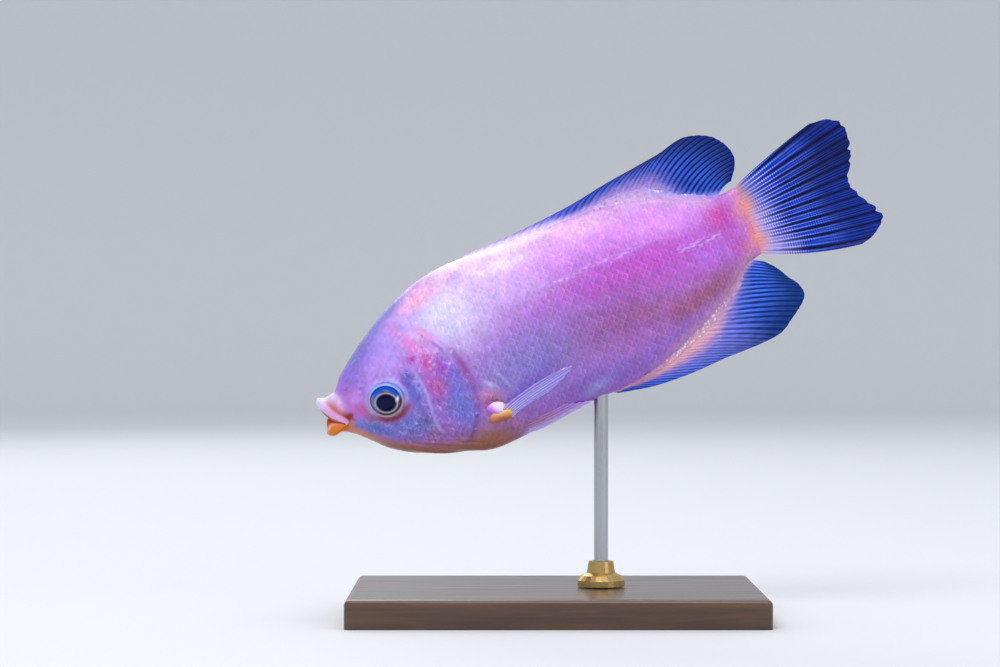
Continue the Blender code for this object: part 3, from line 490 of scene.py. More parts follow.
def lip_colours(path, angle):
    """Linear colours along the path over the lips, for an angle in degrees of the right half.

    The dark red at the mouth's corner, the orange-brown on the upper lip's inner face and the dark red-brown
    inside the mouth are partly painted shade.
    """
    lower = fall(angle, -30, -12)
    top = ramp(angle, 20, 80)
    inside = lerp(3.3, 4.3, top)
    upper = painted((216, 208, 248),
                    ((216, 158, 214), 0.9 * (1 - top)),
                    ((188, 98, 72), 0.95 * ridge(path - 1.25, 0.75) * fall(angle, 30, 75)),
                    # dark red at the mouth's corner, partly painted shade in the crease
                    ((142, 34, 8), fall(path, 1.2, 1.9) * ridge(angle + 9, 10)),
                    # orange-brown on the upper lip's inner face, partly painted shade inside the mouth
                    ((176, 88, 50), ramp(path, inside, inside + 0.5)))
    under = painted((214, 118, 30),
                    ((196, 124, 90), fall(path, 0.4, 1.5)),
                    ((246, 172, 146), 0.95 * ridge(path - 4.55, 0.62)),
                    ((184, 48, 0), ramp(path, 5.1, 5.5)))
    return painted(lerp(upper, under, lower[..., None]),
                   # dark red at the mouth's corner, partly painted shade in the crease
                   ((142, 34, 8), 0.8 * fall(path, 0.6, 1.4) * ridge(angle + 16, 8)),
                   # darkest red-brown inside the mouth, partly painted shade
                   ((92, 24, 18), ramp(path, 6.2, 7)))


def mouth_path(angle):
    """The places of the path over the lips at angles in degrees of the right half, groove to throat."""
    path = [on_skin(crease_place(angle), np.radians(angle))]
    low, high = MOUTH_STATIONS[-2], MOUTH_STATIONS[1]
    for step in range(len(low[2])):
        points = [(-180 - low[0], *flipped(low[2][step]))]
        points += [(station, *places[step]) for station, _, places in reversed(MOUTH_STATIONS)]
        points += [(180 - high[0], *flipped(high[2][step]))]
        path.append(smooth_places(points, angle))
    return np.array(path)


def flipped(place):
    return place[0], -place[1], place[2]


def crease_place(angle):
    """x of the groove behind the lips, at angles in degrees of the right half."""
    return smooth([(station, place) for station, place, _ in reversed(MOUTH_STATIONS)], angle)


def fill_layer(layer, field, values):
    layer.data.foreach_set(field, np.asarray(values, np.float32).ravel())


def mesh_from(name, corners, faces, charts=None, colours=None, materials=(), rungs=None):
    """An object from places in metres, faces of one size each, a UV pair a corner and a colour a vertex.

    Rungs are a distance along the fin rays and a strength of their cross stripes, for each vertex.
    """
    mesh = bpy.data.meshes.new(name)
    mesh.vertices.add(len(corners))
    mesh.vertices.foreach_set("co", np.asarray(corners, np.float32).ravel())
    loops = np.concatenate([block.ravel() for block in faces])
    sizes = np.concatenate([np.full(len(block), block.shape[1]) for block in faces])
    mesh.loops.add(len(loops))
    mesh.loops.foreach_set("vertex_index", loops.astype(np.int32))
    mesh.polygons.add(len(sizes))
    mesh.polygons.foreach_set("loop_start", (np.cumsum(sizes) - sizes).astype(np.int32))
    if charts is not None:
        layer = mesh.uv_layers.new(name="OFBake")
        fill_layer(layer, "uv", np.concatenate([block.reshape(-1) for block in charts]))
    if colours is not None:
        layer = mesh.color_attributes.new("markings", "FLOAT_COLOR", "POINT")
        fill_layer(layer, "color", np.column_stack([colours, np.ones(len(colours))]))
    if rungs is not None:
        layer = mesh.attributes.new("rungs", "FLOAT_VECTOR", "POINT")
        fill_layer(layer, "vector", np.column_stack([rungs, np.zeros(len(rungs))]))
    mesh.update(calc_edges=True)
    mesh.validate()
    mesh.shade_smooth()
    made = bpy.data.objects.new(name, mesh)
    bpy.context.scene.collection.objects.link(made)
    for finish in materials:
        mesh.materials.append(finish)
    return made


def body_rings():
    """x of each plain ring behind the muzzle."""
    places, x = [], MUZZLE_END
    for end, step in SKIN_STEPS:
        count = round((end - x) / step)
        places += [x + (end - x) * (i + 1) / count for i in range(count)]
        x = end
    return np.array(places)


def skin_grid():
    """Places and colours of the skin, ring by ring from the throat to the tail."""
    turns = np.arange(SKIN_SIDES + 1) * TURN / SKIN_SIDES - math.pi / 2
    on_right = turns <= math.pi / 2
    right = np.degrees(np.where(on_right, turns, math.pi - turns))
    mirror = columns(1.0, np.where(on_right, 1.0, -1.0), 1.0)
    path = mouth_path(right)
    knots = np.arange(len(path))
    rings, shades = [], []
    for along in np.linspace(len(path) - 1, 0, LIP_RINGS)[:-1]:
        ring = [smooth_places(np.column_stack([knots, path[:, k]]), along) for k in range(SKIN_SIDES + 1)]
        rings.append(np.array(ring) * mirror)
        shades.append(lip_colours(np.full(len(right), along), right))
    start = crease_place(right)
    for i in range(MUZZLE_RINGS):
        share = i / MUZZLE_RINGS
        x = lerp(start, MUZZLE_END, share)
        rings.append(on_skin(x, turns))
        near, far = lip_colours(np.zeros(len(right)), right), markings(on_section(x, turns))
        shades.append(lerp(far, near, fall(share, 0, 0.35)))
    for x in body_rings():
        rings.append(on_skin(x, turns))
        shades.append(markings(on_section(x, turns)))
    return np.array(rings), np.array(shades)


def skin_charts(rings):
    """Unwrap of the skin: u along its length and v round it from the back, both in true lengths."""
    along = np.linalg.norm(np.diff(rings, axis=0), axis=2).mean(axis=1)
    u = np.concatenate([[0], np.cumsum(along)])[:, None]
    around = np.linalg.norm(np.diff(rings, axis=1), axis=2)
    v = np.concatenate([np.zeros((len(rings), 1)), np.cumsum(around, axis=1)], axis=1)
    middle = v[:, SKIN_SIDES // 2:SKIN_SIDES // 2 + 1]
    return columns(u / CHART + 0.02, 0.5 + (v - middle) / CHART)


def grid_faces(rows, sides):
    """Quads of a grid that closes round its columns, and the matching corners of an open grid."""
    i, k = (index.ravel() for index in np.indices((rows - 1, sides)))
    after = (k + 1) % sides
    closed = columns(i * sides + k, i * sides + after, (i + 1) * sides + after, (i + 1) * sides + k)
    wide = sides + 1
    opened = columns(i * wide + k, i * wide + k + 1, (i + 1) * wide + k + 1, (i + 1) * wide + k)
    return closed, opened


def closed_piece(name, rings, shades, charts, ends, tips, finish):
    """A piece from rings that close round their columns, capped by two end places.

    Tips are where the end places lie on the unwrap.
    """
    rows, sides = len(rings), rings.shape[1] - 1
    closed, opened = grid_faces(rows, sides)
    k = np.arange(sides)
    after = (k + 1) % sides
    first, last_ring = rows * sides, (rows - 1) * sides
    corners = np.concatenate([rings[:, :-1].reshape(-1, 3), ends])
    colours = np.concatenate([shades[:, :-1].reshape(-1, 3), shades[:1, 0], shades[-1:, 0]])
    caps = np.concatenate([columns(first, after, k), columns(first + 1, last_ring + k, last_ring + after)])
    fore, aft = (np.broadcast_to(tip, (sides, 2)) for tip in tips)
    cap_charts = np.concatenate([np.stack([fore, charts[0, 1:], charts[0, :-1]], 1),
                                 np.stack([aft, charts[-1, :-1], charts[-1, 1:]], 1)])
    return mesh_from(name, to_world(corners), [closed, caps], [charts.reshape(-1, 2)[opened], cap_charts],
                     colours, [finish])


def make_skin(finish):
    """One closed skin over the head, lips, gill covers, trunk and tail stalk, and u of its plain rings."""
    rings, shades = skin_grid()
    charts = skin_charts(rings)
    ends = [THROAT, rings[-1].mean(axis=0)]
    margin = (0.012, 0)
    tips = [charts[0].mean(axis=0) - margin, charts[-1].mean(axis=0) + margin]
    skin = closed_piece("fish_skin", rings, shades, charts, ends, tips, finish)
    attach(skin, "root")
    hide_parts("head", "trunk", "tail_stalk", "gill_cover_left", "gill_cover_right", "upper_lip",
                "lower_lip")
    return charts[-len(body_rings()) - 1:, 0, 0]


class Unrolled:
    """The right side of the body, unrolled.

    It finds the angle of a place from its x and its distance from mid-height, and its place on the unwrap.
    """

    step = 0.4
    sides = 181

    def __init__(self, ring_u):
        self.x = np.arange(4, BODY_END + 1, self.step)
        self.v = np.arange(-40, 40, self.step)
        self.ring_x, self.ring_u = np.concatenate([[MUZZLE_END], body_rings()]), ring_u
        self.spread = np.linspace(-math.pi / 2, math.pi / 2, self.sides)
        reach = self.reach(self.x)
        reach -= reach[:, self.sides // 2:self.sides // 2 + 1]
        self.angles = np.array([np.interp(self.v, row, self.spread) for row in reach])
        self.low, self.high = reach[:, 0], reach[:, -1]

    def reach(self, x):
        """Distances round the right side from the belly, at each angle of the spread."""
        grid = on_section(x[:, None], self.spread[None, :])
        steps = np.linalg.norm(np.diff(grid, axis=1), axis=2)
        return np.concatenate([np.zeros((len(x), 1)), np.cumsum(steps, axis=1)], axis=1)

    def angle(self, x, v):
        i = np.clip((x - self.x[0]) / self.step, 0, len(self.x) - 1.001)
        j = np.clip((v - self.v[0]) / self.step, 0, len(self.v) - 1.001)
        p, q = i.astype(int), j.astype(int)
        near = lerp(self.angles[p, q], self.angles[p + 1, q], i - p)
        far = lerp(self.angles[p, q + 1], self.angles[p + 1, q + 1], i - p)
        return lerp(near, far, j - q)

    def limits(self, x):
        return np.interp(x, self.x, self.low), np.interp(x, self.x, self.high)

    def chart(self, x, angle, side):
        reach = self.reach(x)
        from_belly = [np.interp(at, self.spread, row) for at, row in zip(angle, reach)]
        from_back = reach[:, -1] - np.array(from_belly)
        return columns(np.interp(x, self.ring_x, self.ring_u), 0.5 - side * from_back / CHART)


def scale_shape(rows, lanes):
    """One scale of rows and lanes: its plan, 0 to 1 from root to edge by -0.5 to 0.5 across, the rise of its
    corners, which of them are on its upper face, and its faces of four and of three corners.
    """
    plan, rise = [], []
    for i in range(rows + 1):
        share = i / rows
        for j in range(lanes + 1):
            across = j / lanes * 2 - 1
            length = 0.4 + 0.6 * math.sqrt(max(0.0, 1 - across ** 2))
            plan.append((share * length, across / 2 * (0.8 + 0.2 * math.sin(math.pi / 2 * share))))
            rise.append(share * (1 - 0.5 * across ** 2))
    count, wide = len(plan), lanes + 1
    top = [(i * wide + j, (i + 1) * wide + j, (i + 1) * wide + j + 1, i * wide + j + 1)
           for i in range(rows) for j in range(lanes)]
    border = [i * wide for i in range(rows + 1)] + [rows * wide + j for j in range(1, wide)]
    border += [i * wide + lanes for i in range(rows - 1, -1, -1)] + list(range(lanes - 1, 0, -1))
    low = {place: count + n for n, place in enumerate(border)}
    centre = count + len(border)
    pairs = list(zip(border, border[1:] + border[:1]))
    rim = [(place, low[place], low[after], after) for place, after in pairs]
    under = [(low[after], low[place], centre) for place, after in pairs]
    plan += [plan[n] for n in border] + [(0.5, 0.0)]
    rise += [rise[n] for n in border] + [0.4]
    upper = np.arange(len(plan)) < count
    return np.array(plan), np.array(rise), upper, np.array(top + rim), np.array(under)


def seats_of(table, start, end, pitch):
    """Seats of overlapping scales on one side (x, distance from mid-height and size), and their x and z."""
    seats = []
    rows, margin = np.arange(-60, 61), 0.4
    for i, x in enumerate(np.arange(start, end, pitch[0] / 2)):
        low, high = table.limits(x)
        size = float(lerp(1.0, 0.8, ramp(x, 62, 96)))
        for v in rows[(rows + i) % 2 == 0] * pitch[1] * size:
            if low + margin < v < high - margin:
                seats.append((x, v, size))
    seats = np.array(seats)
    seats[:, :2] += random.uniform(-0.05, 0.05, (len(seats), 2)) * pitch
    places = on_section(seats[:, 0], table.angle(seats[:, 0], seats[:, 1]))
    return seats, places[:, 0], places[:, 2]


def flank_seats(table):
    """Seats of the scales behind the gill opening, clear of the bare breast."""
    seats, x, z = seats_of(table, 21, 97.6, FLANK_SCALES["pitch"])
    behind = past_line(GILL_EDGE, x, z)
    bare_breast = (z - smooth(BELLY_LINE, x) < 4.5) & (x < 35)
    start = lerp(0.75, 1.3, ramp(z, 0, 8)) + 1.6 * ramp(z, 2, 6) * ripples(x, z, 2.2, 9)
    return seats[(behind > start) & ~bare_breast]


def head_seats(table):
    """Seats of the fine scales on the cheek and the gill cover."""
    seats, x, z = seats_of(table, 5.8, 31, HEAD_SCALES["pitch"])
    over_belly = z - smooth(BELLY_LINE, x)
    bone = past_line(CHEEK_RIDGE, x, z)
    cheek = (eye_distance(x, z) > 5.3) & (bone < -0.9) & (over_belly > 2.4)
    cheek &= (z < -6.2) | ((x > 17.6) & (z < 0.5))
    cover = (bone > 0.7) & (past_line(GILL_EDGE, x, z) < -1.1) & (over_belly > 4) & (z < 5)
    return seats[cheek | cover]


def scale_colours(base, plan, contrast, glint):
    """Linear colours over each scale: the skin's own, with a pale free edge and, on a share of them, a
    painted glint.
    """
    shape = (len(base), 1)
    edge = np.clip(np.hypot((plan[:, 0] - 0.42) / 0.58, plan[:, 1] / 0.5), 0, 1)
    shine = random.uniform(1 - contrast, 1 + contrast, (*shape, 1)) * random.uniform(0.96, 1.04, (*shape, 3))
    colours = base * shine * (0.97 * (1 - 0.12 * ramp(edge, 0.45, 0.78)))[:, None]
    pale = np.clip(colours * 1.15 + 0.1, 0, 1)
    rim = random.uniform(0.35, 0.95, shape) * ramp(edge, 0.82, 0.96)
    # painted glint: a white fleck of reflected light on a random share of the scales
    bright = (random.uniform(0, 1, shape) < glint) * random.uniform(0.2, 1, shape)
    painted_glint = 0.9 * bright * ramp(plan[:, 0], 0.3, 0.6) * fall(np.abs(plan[:, 1]), 0.15, 0.45)
    colours = painted(lerp(colours, pale, rim[..., None]), ((240, 234, 255), painted_glint))
    return np.clip(colours, 0, 1)


def scale_mesh(name, places, colours, patch, kind, side, finish):
    """Closed scales as one mesh, each on a small patch of the unwrap."""
    plan, _, _, quads, tris = scale_shape(*kind["grid"])
    count, points = places.shape[:2]
    charts = (patch[:, None, :] + (plan - (0.5, 0)) * SCALE_PATCH).reshape(-1, 2)
    offset = (np.arange(count) * points)[:, None, None]
    faces = [(block[:, ::-1] if side < 0 else block) + offset for block in (quads, tris)]
    faces = [block.reshape(-1, block.shape[-1]) for block in faces]
    scales = mesh_from(name, to_world(places.reshape(-1, 3)), faces, [charts[block] for block in faces],
                       colours.reshape(-1, 3), [finish])
    scales.data.set_sharp_from_angle(angle=math.radians(35))
    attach(scales, "root")
    return scales


def scale_plans(count, size, kind):
    """How far each corner of each scale lies behind and beside its seat, and its height over the skin."""
    plan, rise, upper, _, _ = scale_shape(*kind["grid"])
    loose = kind["loose"]
    size = size * random.uniform(1 - loose / 2, 1 + loose / 2, (count, 1))
    twist = random.uniform(-loose, loose, (count, 1))
    behind = (plan[:, 0] - 0.4) * kind["size"][0] * size
    beside = plan[:, 1] * kind["size"][1] * size
    height = rise * kind["lift"] * random.uniform(0.7, 1.3, (count, 1)) - ROOT_DEPTH
    height = height - np.where(upper, 0, SCALE_THICKNESS)
    return behind - beside * twist, beside + behind * twist, height, plan


def make_scales(name, seats, table, side, kind, finish):
    """Closed scales over the skin of one side, as one mesh."""
    behind, beside, height, plan = scale_plans(len(seats), seats[:, 2:3], kind)
    x = seats[:, 0:1] + behind
    angle = table.angle(x, seats[:, 1:2] + beside)
    colours = scale_colours(markings(on_section(x, angle)), plan, kind["contrast"], 0)
    patch = table.chart(seats[:, 0], table.angle(seats[:, 0], seats[:, 1]), side)
    made = scale_mesh(name, on_skin(x, angle, height) * (1, side, 1), colours, patch, kind, side, finish)


def make_coat(table, side, word, finish):
    """The scales of one side: the flank's in three pieces, and the head's."""
    seats = flank_seats(table)
    front, rear = seats[:, 0] < 47, seats[:, 0] > 66
    for part, chosen in (("front", front), ("middle", ~front & ~rear), ("rear", rear)):
        make_scales(f"flank_scales_{part}_{word}", seats[chosen], table, side, FLANK_SCALES, finish)
    make_scales(f"head_scales_{word}", head_seats(table), table, side, HEAD_SCALES, finish)


def fin_root_half(out):
    """Half the thickness of the fleshy root of a dorsal or anal fin at a distance from the body's edge."""
    return 0.12 + 0.55 * np.clip(1 - out / 2.4, 0, 1) ** 2


def make_sheath(name, edge_line, outward, side, look, finish):
    """Small scales that climb from the body over the root of the dorsal or anal fin."""
    kind = SHEATH_SCALES
    reach = look["sheath_reach"]
    seats = []
    for i, x in enumerate(np.arange(*look["sheath_span"], kind["pitch"][0] / 2)):
        for row in np.arange(-1.1 + (i % 2) * kind["pitch"][1], reach(x), 2 * kind["pitch"][1]):
            seats.append((x, row))
    seats = np.array(seats) + random.uniform(-0.06, 0.06, (len(seats), 2))
    first = look["sheath_span"][0]
    thinning = 0.85 * ramp(seats[:, 1], 0.45 * reach(seats[:, 0]), reach(seats[:, 0]))
    thinning = np.maximum(thinning, fall(seats[:, 0], first, first + 10))
    seats = seats[random.uniform(0, 1, len(seats)) > thinning]
    x, out = seats[:, 0:1], seats[:, 1:2]
    behind, beside, height, plan = scale_plans(len(seats), lerp(1.0, 0.7, ramp(out, 0, 4)), kind)
    cos, sin = math.cos(SHEATH_LEAN), math.sin(SHEATH_LEAN)
    at = x + behind * cos - beside * sin * outward * side
    over = out + behind * sin + beside * cos * outward * side
    edge = smooth(edge_line, at)
    z = edge + over * outward
    body = surface_half(np.clip(at, 0.9, BODY_END), z) * (over < 0)
    places = columns(at, side * (np.maximum(body, fin_root_half(over)) + height), z)
    skin = markings(columns(at, 0, edge - 1.2 * outward))
    base = lerp(skin, root_tone(look, at), ramp(out, -0.8, 0.8)[..., None])
    base = painted(base, (look["sheath"], 0.6 * ramp(out, 0.8, 3)))
    # the look's glint gives the share of these scales with a painted glint of reflected light
    colours = scale_colours(base, plan, kind["contrast"], look["glint"](x, out))
    patch = np.hstack([0.02 + (x + 12) / CHART, 0.5 + side * outward * (out + 3) / CHART])
    scale_mesh(name, places, colours, patch, kind, side * outward, finish)


def sheet_mesh(name, grid, half, normals, colours, finish, rungs=None):
    """A thin closed sheet about a grid of places, with its own unwrap and the same colours on both faces."""
    rows, wide = half.shape
    offset = normals * half[..., None]
    corners = np.concatenate([(grid + offset).reshape(-1, 3), (grid - offset).reshape(-1, 3)])
    i, j = (index.ravel() for index in np.indices((rows - 1, wide - 1)))
    quads = columns(i * wide + j, (i + 1) * wide + j, (i + 1) * wide + j + 1, i * wide + j + 1)
    count = rows * wide
    border = [(p, 0) for p in range(rows - 1)] + [(rows - 1, p) for p in range(wide - 1)]
    border += [(p, wide - 1) for p in range(rows - 1, 0, -1)] + [(0, p) for p in range(wide - 1, 0, -1)]
    edge = np.array([p * wide + q for p, q in border])
    after = np.roll(edge, -1)
    rim = columns(edge, edge + count, after + count, after)
    u, v = np.meshgrid(np.linspace(0.01, 0.49, rows), np.linspace(0.02, 0.96, wide), indexing="ij")
    chart = columns(u.ravel(), v.ravel())
    back_chart = chart + (0.5, 0)
    run = np.arange(len(edge)) / len(edge) * 0.98 + 0.01
    onward = run + 0.98 / len(edge)
    rim_chart = np.stack([columns(*pair) for pair in ((run, 0.975), (run, 0.99), (onward, 0.99),
                                                      (onward, 0.975))], 1)
    made = mesh_from(name, to_world(corners), [quads, quads[:, ::-1] + count, rim],
                     [chart[quads], back_chart[quads[:, ::-1]], rim_chart],
                     np.tile(colours.reshape(-1, 3), (2, 1)), [finish],
                     None if rungs is None else np.tile(rungs.reshape(-1, 2), (2, 1)))
    recalculate(made)
    return made


def recalculate(made):
    """Turns the faces of a closed piece outwards."""
    bm = bmesh.new()
    bm.from_mesh(made.data)
    bmesh.ops.recalc_face_normals(bm, faces=bm.faces)
    bm.to_mesh(made.data)
    bm.free()


def bowed(root, tip, bow, share):
    return lerp(root, tip, share) + bow * (4 * share * (1 - share))


def ray_steps(rays, spread):
    """Steps from the first ray to the last, and how far each lies from its nearest ray."""
    steps = np.arange(rays * spread + 1) / spread
    return steps, np.abs(steps - np.round(steps))


def ragged(steps, per_ray, shortest):
    """The share of its length that a fin keeps at each step, uneven along its edge."""
    knots = np.arange(steps[-1] * per_ray + 1) / per_ray
    return np.interp(steps, knots, random.uniform(shortest, 1.0, len(knots)))


def make_median_fin(name, edge_line, roots, tips, outward, finish, look, spread=14, rows=64):
    """The dorsal or anal fin, its rays fine ridges on the membrane."""
    steps, from_ray = ray_steps(MEDIAN_RAYS, spread)
    x = smooth(roots, steps)
    slope = smooth(edge_line, x + 0.5) - smooth(edge_line, x - 0.5)
    root = columns(x, 0, smooth(edge_line, x)) - unit(columns(-slope, 0, 1)) * outward * 0.5
    tip = columns(smooth(tips, steps, 1), 0, smooth(tips, steps, 2))
    notch = ragged(steps, 1, 0.993) * (1 - 0.004 * (2 * from_ray) ** 1.5)
    tip = lerp(root, tip, notch[:, None])
    length = np.linalg.norm(tip - root, axis=1)
    bow_share = 0.15 if outward > 0 else -0.04 * ramp(steps, 4, 18) * (1 - 0.6 * ramp(steps, 32, 38))
    bow = np.array((-0.35, 0, outward * 0.6)) * (bow_share * length)[:, None]
    share = np.linspace(0, 1, rows) ** 1.1
    grid = bowed(root[:, None], tip[:, None], bow[:, None], share[:, None])
    part, x = from_ray[:, None], x[:, None]
    band = fall(part, *look["band"])
    fine = np.maximum(ridge(part - 0.16 * ramp(share, 0.2, 0.6), 0.075), 0.35 * ridge(part, 0.06))
    out = share * length[:, None]
    rise = 0.16 * (0.15 + 0.85 * ramp(out, 1.5, 5.5)) * (1 - 0.4 * share)
    half = fin_root_half(out) - 0.02 + rise * band * (0.45 + 0.55 * fine)
    half = half * (1 - 0.5 * share ** 6)
    strength = 0.14 * band * ramp(out, 2.5, 5) * (1 - 0.5 * ramp(share, 0.5, 1))
    colours = fin_colours(band, fine, share, out, x, look)
    fin = sheet_mesh(name, grid, half, SIDEWAYS, colours, finish, columns(out + ray_shifts(steps), strength))
    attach(fin, "root")
    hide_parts(name)


def ray_shifts(steps):
    """A shift of each ray's cross stripes along it, as a column."""
    return random.uniform(0, 1, MEDIAN_RAYS + 1)[np.round(steps).astype(int)][:, None]


# Looks of the dorsal and anal fins: display colours of the front, of the rays out to their tips, of the
# membrane, of the root from front to rear with the glow beyond it and of the scales on it; where the band at
# a ray ends; how sharply and how far out the root ends; and the span and reach of the scales and the share
# of them with a painted glint, a fleck of reflected light
DORSAL_LOOK = {
    "front": (96, 96, 220), "ray": (50, 96, 216), "tip": (6, 50, 124), "membrane": (2, 20, 98),
    "root_front": (222, 202, 250), "root": (192, 156, 216), "root_rear": (160, 150, 230),
    "glow": (112, 116, 226), "sheath": (148, 146, 234),
    "band": (0.22, 0.4), "root_edge": 2.6, "glow_strength": 0.5,
    "root_reach": lambda x: (1.2 + 1.5 * fall(x, 54, 66)
                             + 3.2 * ramp(x, 62, 74) * (1 - 0.95 * ramp(x, 79, 88))),
    "sheath_span": (66, 92),
    "sheath_reach": lambda x: 0.3 + 2.6 * ramp(x, 67, 79) * (1 - 0.75 * ramp(x, 80, 87)),
    "glint": lambda x, out: 0.08 * ramp(x, 64, 70),
}

ANAL_LOOK = {
    "front": (20, 66, 184), "ray": (66, 118, 242), "tip": (14, 62, 116), "membrane": (6, 42, 132),
    "root_front": (222, 160, 180), "root": (230, 168, 180), "root_rear": (190, 146, 196),
    "glow": (140, 140, 238), "sheath": (214, 152, 166),
    "band": (0.14, 0.4), "root_edge": 4.5, "glow_strength": 0.85,
    "root_reach": lambda x: (1.0 + 6.0 * ramp(x, 55, 71) * (1 - 0.85 * ramp(x, 72, 93))
                             * (1 - 0.6 * ramp(x, 89, 93))),
    "sheath_span": (62, 93),
    "sheath_reach": lambda x: 0.3 + 1.0 * ramp(x, 66, 76),
    "glint": lambda x, out: 0.36 * ridge(out - 0.3, 0.8) * window(x, 68, 74, 87, 91),
}


def root_tone(look, x):
    """Linear colour of the fleshy root of a dorsal or anal fin at places along the body."""
    return painted(look["root_front"], (look["root"], ramp(x, 58, 68)), (look["root_rear"], ramp(x, 78, 88)))


def fin_colours(band, fine, share, out, x, look):
    """Linear colours of a fin: a broad band at each ray, dark between them and pale at the root."""
    front = linear(*look["front"])
    tint = painted(look["ray"], (look["tip"], ramp(share, 0.35, 0.95) * ramp(x, 62, 78)))
    tint = lerp(front * 1.3, tint, ramp(x, 54, 66)[..., None])
    cloud = 1 + 0.22 * ripples(x, out, 3.4, 31)
    ray = tint * (cloud * (0.68 + 0.6 * fine))[..., None]
    membrane = lerp(front * 0.7, linear(*look["membrane"]), ramp(x, 56, 70)[..., None])
    membrane = membrane * lerp(1.0, 0.75, share)[:, None]
    colours = lerp(membrane, ray, (0.97 * band)[..., None])
    reach = look["root_reach"](x) * (1 + 0.25 * ripples(x, out, 1.9, 34))
    glow_reach = reach * (2.1 - 0.6 * ramp(x, 74, 84))
    glow = look["glow_strength"] * np.exp(-(out / glow_reach) ** 3) * ramp(x, 58, 66) * (0.55 + 0.45 * band)
    colours = painted(colours, (look["glow"], glow))
    specks = 1 + 0.25 * ripples(x, out, 0.8, 33)
    root = root_tone(look, x) * ((0.96 + 0.08 * band) * specks)[..., None]
    base = np.exp(-(out / reach) ** look["root_edge"]) * (0.95 + 0.05 * band)
    return np.clip(lerp(colours, root, base[..., None]), 0, 1)


def make_tail_fin(finish, spread=26, rows=96):
    """The tail fin: broad bands of branching rays with dark membrane between them."""
    steps, from_ray = ray_steps(TAIL_RAYS, spread)
    down = steps / TAIL_RAYS
    top, bottom = smooth(BACK_LINE, BODY_END), smooth(BELLY_LINE, BODY_END)
    middle = smooth(WIDEST_LEVEL, BODY_END)
    root = columns(BODY_END - 0.6, 0, lerp(top - 0.25, bottom + 0.25, down))
    tip = columns(smooth(TAIL_TIPS, steps, 1), 0, smooth(TAIL_TIPS, steps, 2))
    notch = ragged(steps, 4, 0.98) * (1 - 0.012 * ridge(from_ray - 0.5, 0.2))
    tip = lerp(root, tip, notch[:, None])
    flare = np.where(down < 0.5, 0.3, 0.9) * (1 - 2 * down) * np.abs(1 - 2 * down)
    share = np.linspace(0, 1, rows) ** 1.1
    grid = bowed(root[:, None], tip[:, None], columns(0, 0, flare)[:, None], share[:, None])
    grid[..., 1] = -TAIL_SWAY * np.clip((grid[..., 0] - BODY_END) / (tip[:, None, 0] - BODY_END), 0, 1) ** 2
    out = np.linalg.norm(grid - root[:, None], axis=2)
    steps, part, level = steps[:, None], from_ray[:, None], root[:, 2:3]
    gap = lerp(0.02, 0.17, ramp(share, 0.05, 0.5)) * (1 - 0.65 * ramp(share, 0.5, 0.9))
    gap = gap * lerp(0.75, 1.0, ramp(steps / TAIL_RAYS, 0.2, 0.45))
    gap = gap * (1 + 0.5 * ripples(steps * 3.1, share * 2, 5, 38))
    band = fall(part, 0.45 - gap, 0.55 - gap)
    inner = ridge(part, 0.055) * ramp(share, 0.35, 0.7)
    branches = (0.35 * ridge(part - 0.12, 0.04) + 0.6 * ridge(part - 0.36, 0.04)) * ramp(share, 0.5, 0.8)
    fine = np.maximum(np.maximum(ridge(part - 0.23, 0.06), inner), branches)
    reach = np.where(level > middle, top - middle, middle - bottom)
    flesh = 1.3 * np.sqrt(np.clip(1 - ((level - middle) / reach) ** 2, 0.04, 1))
    half = 0.1 + 0.17 * band * (0.4 + 0.6 * fine) * (1 - 0.45 * share)
    half = half + np.clip(flesh - 0.2, 0, 2) * np.clip(1 - share / 0.3, 0, 1) ** 1.5
    half = half * (1 - 0.5 * share ** 6)
    strength = 0.45 * band * ramp(out, 2, 5) * fall(share, 0.45, 0.8)
    strength = strength * ramp(ripples(steps * 3, out, 6, 39), -0.35, 0.2)
    colours = tail_colours(steps, share, out, band, fine, level)
    fin = sheet_mesh("tail_fin_rays", grid, half, SIDEWAYS, colours, finish,
                     columns(out + ray_shifts(steps[:, 0]), strength))
    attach(fin, "root")
    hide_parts("tail_fin")


def tail_colours(steps, share, out, band, fine, level):
    """Linear colours of the tail fin: peach and pale at its root, then blue rays that darken outwards."""
    down = steps / TAIL_RAYS
    upper = fall(down, 0.2, 0.5)
    body_tint = painted((54, 78, 208), ((10, 42, 164), ramp(share, 0.1, 0.4)),
                        ((0, 8, 58), ramp(share, 0.45, 0.8)))
    line_tint = painted((200, 208, 255), ((84, 128, 248), ramp(share, 0.1, 0.45)),
                        ((24, 60, 172), ramp(share, 0.4, 0.8)))
    shade = 1 + 0.25 * ripples(out, steps * 3, 7, 35)
    shade = shade * (1 - 0.5 * ridge(down - 0.28, 0.15) * ramp(share, 0.3, 0.6))
    ray = lerp(body_tint, line_tint, fine[..., None]) * shade[..., None]
    colours = lerp(linear(0, 6, 62), ray, band[..., None])
    pale = (0.54 + 0.45 * band * (0.6 + 0.4 * fine)) * (1 - 0.45 * upper)
    reach = 4.6 - 1.2 * upper + 2.4 * ramp(down, 0.72, 0.95)
    reach = reach * (1 + 0.3 * ripples(steps * 2, out * 0.5, 3, 36))
    root = np.exp(-(out / reach) ** 2.5) * (0.35 + 0.65 * band)
    colours = lerp(colours, linear(196, 186, 252) * pale[..., None], root[..., None])
    lobes = tail_root_lobes(level)
    reach = 1.4 + 1.5 * lobes + 0.7 * ripples(steps * 2, out * 0.4, 2.2, 37)
    peach = np.exp(-(out / reach) ** 2.2) * (0.35 + 0.65 * lobes)
    return np.clip(painted(colours, ((236, 150, 140), peach)), 0, 1)


def grid_normals(grid):
    return unit(np.cross(np.gradient(grid, axis=1), np.gradient(grid, axis=0)))


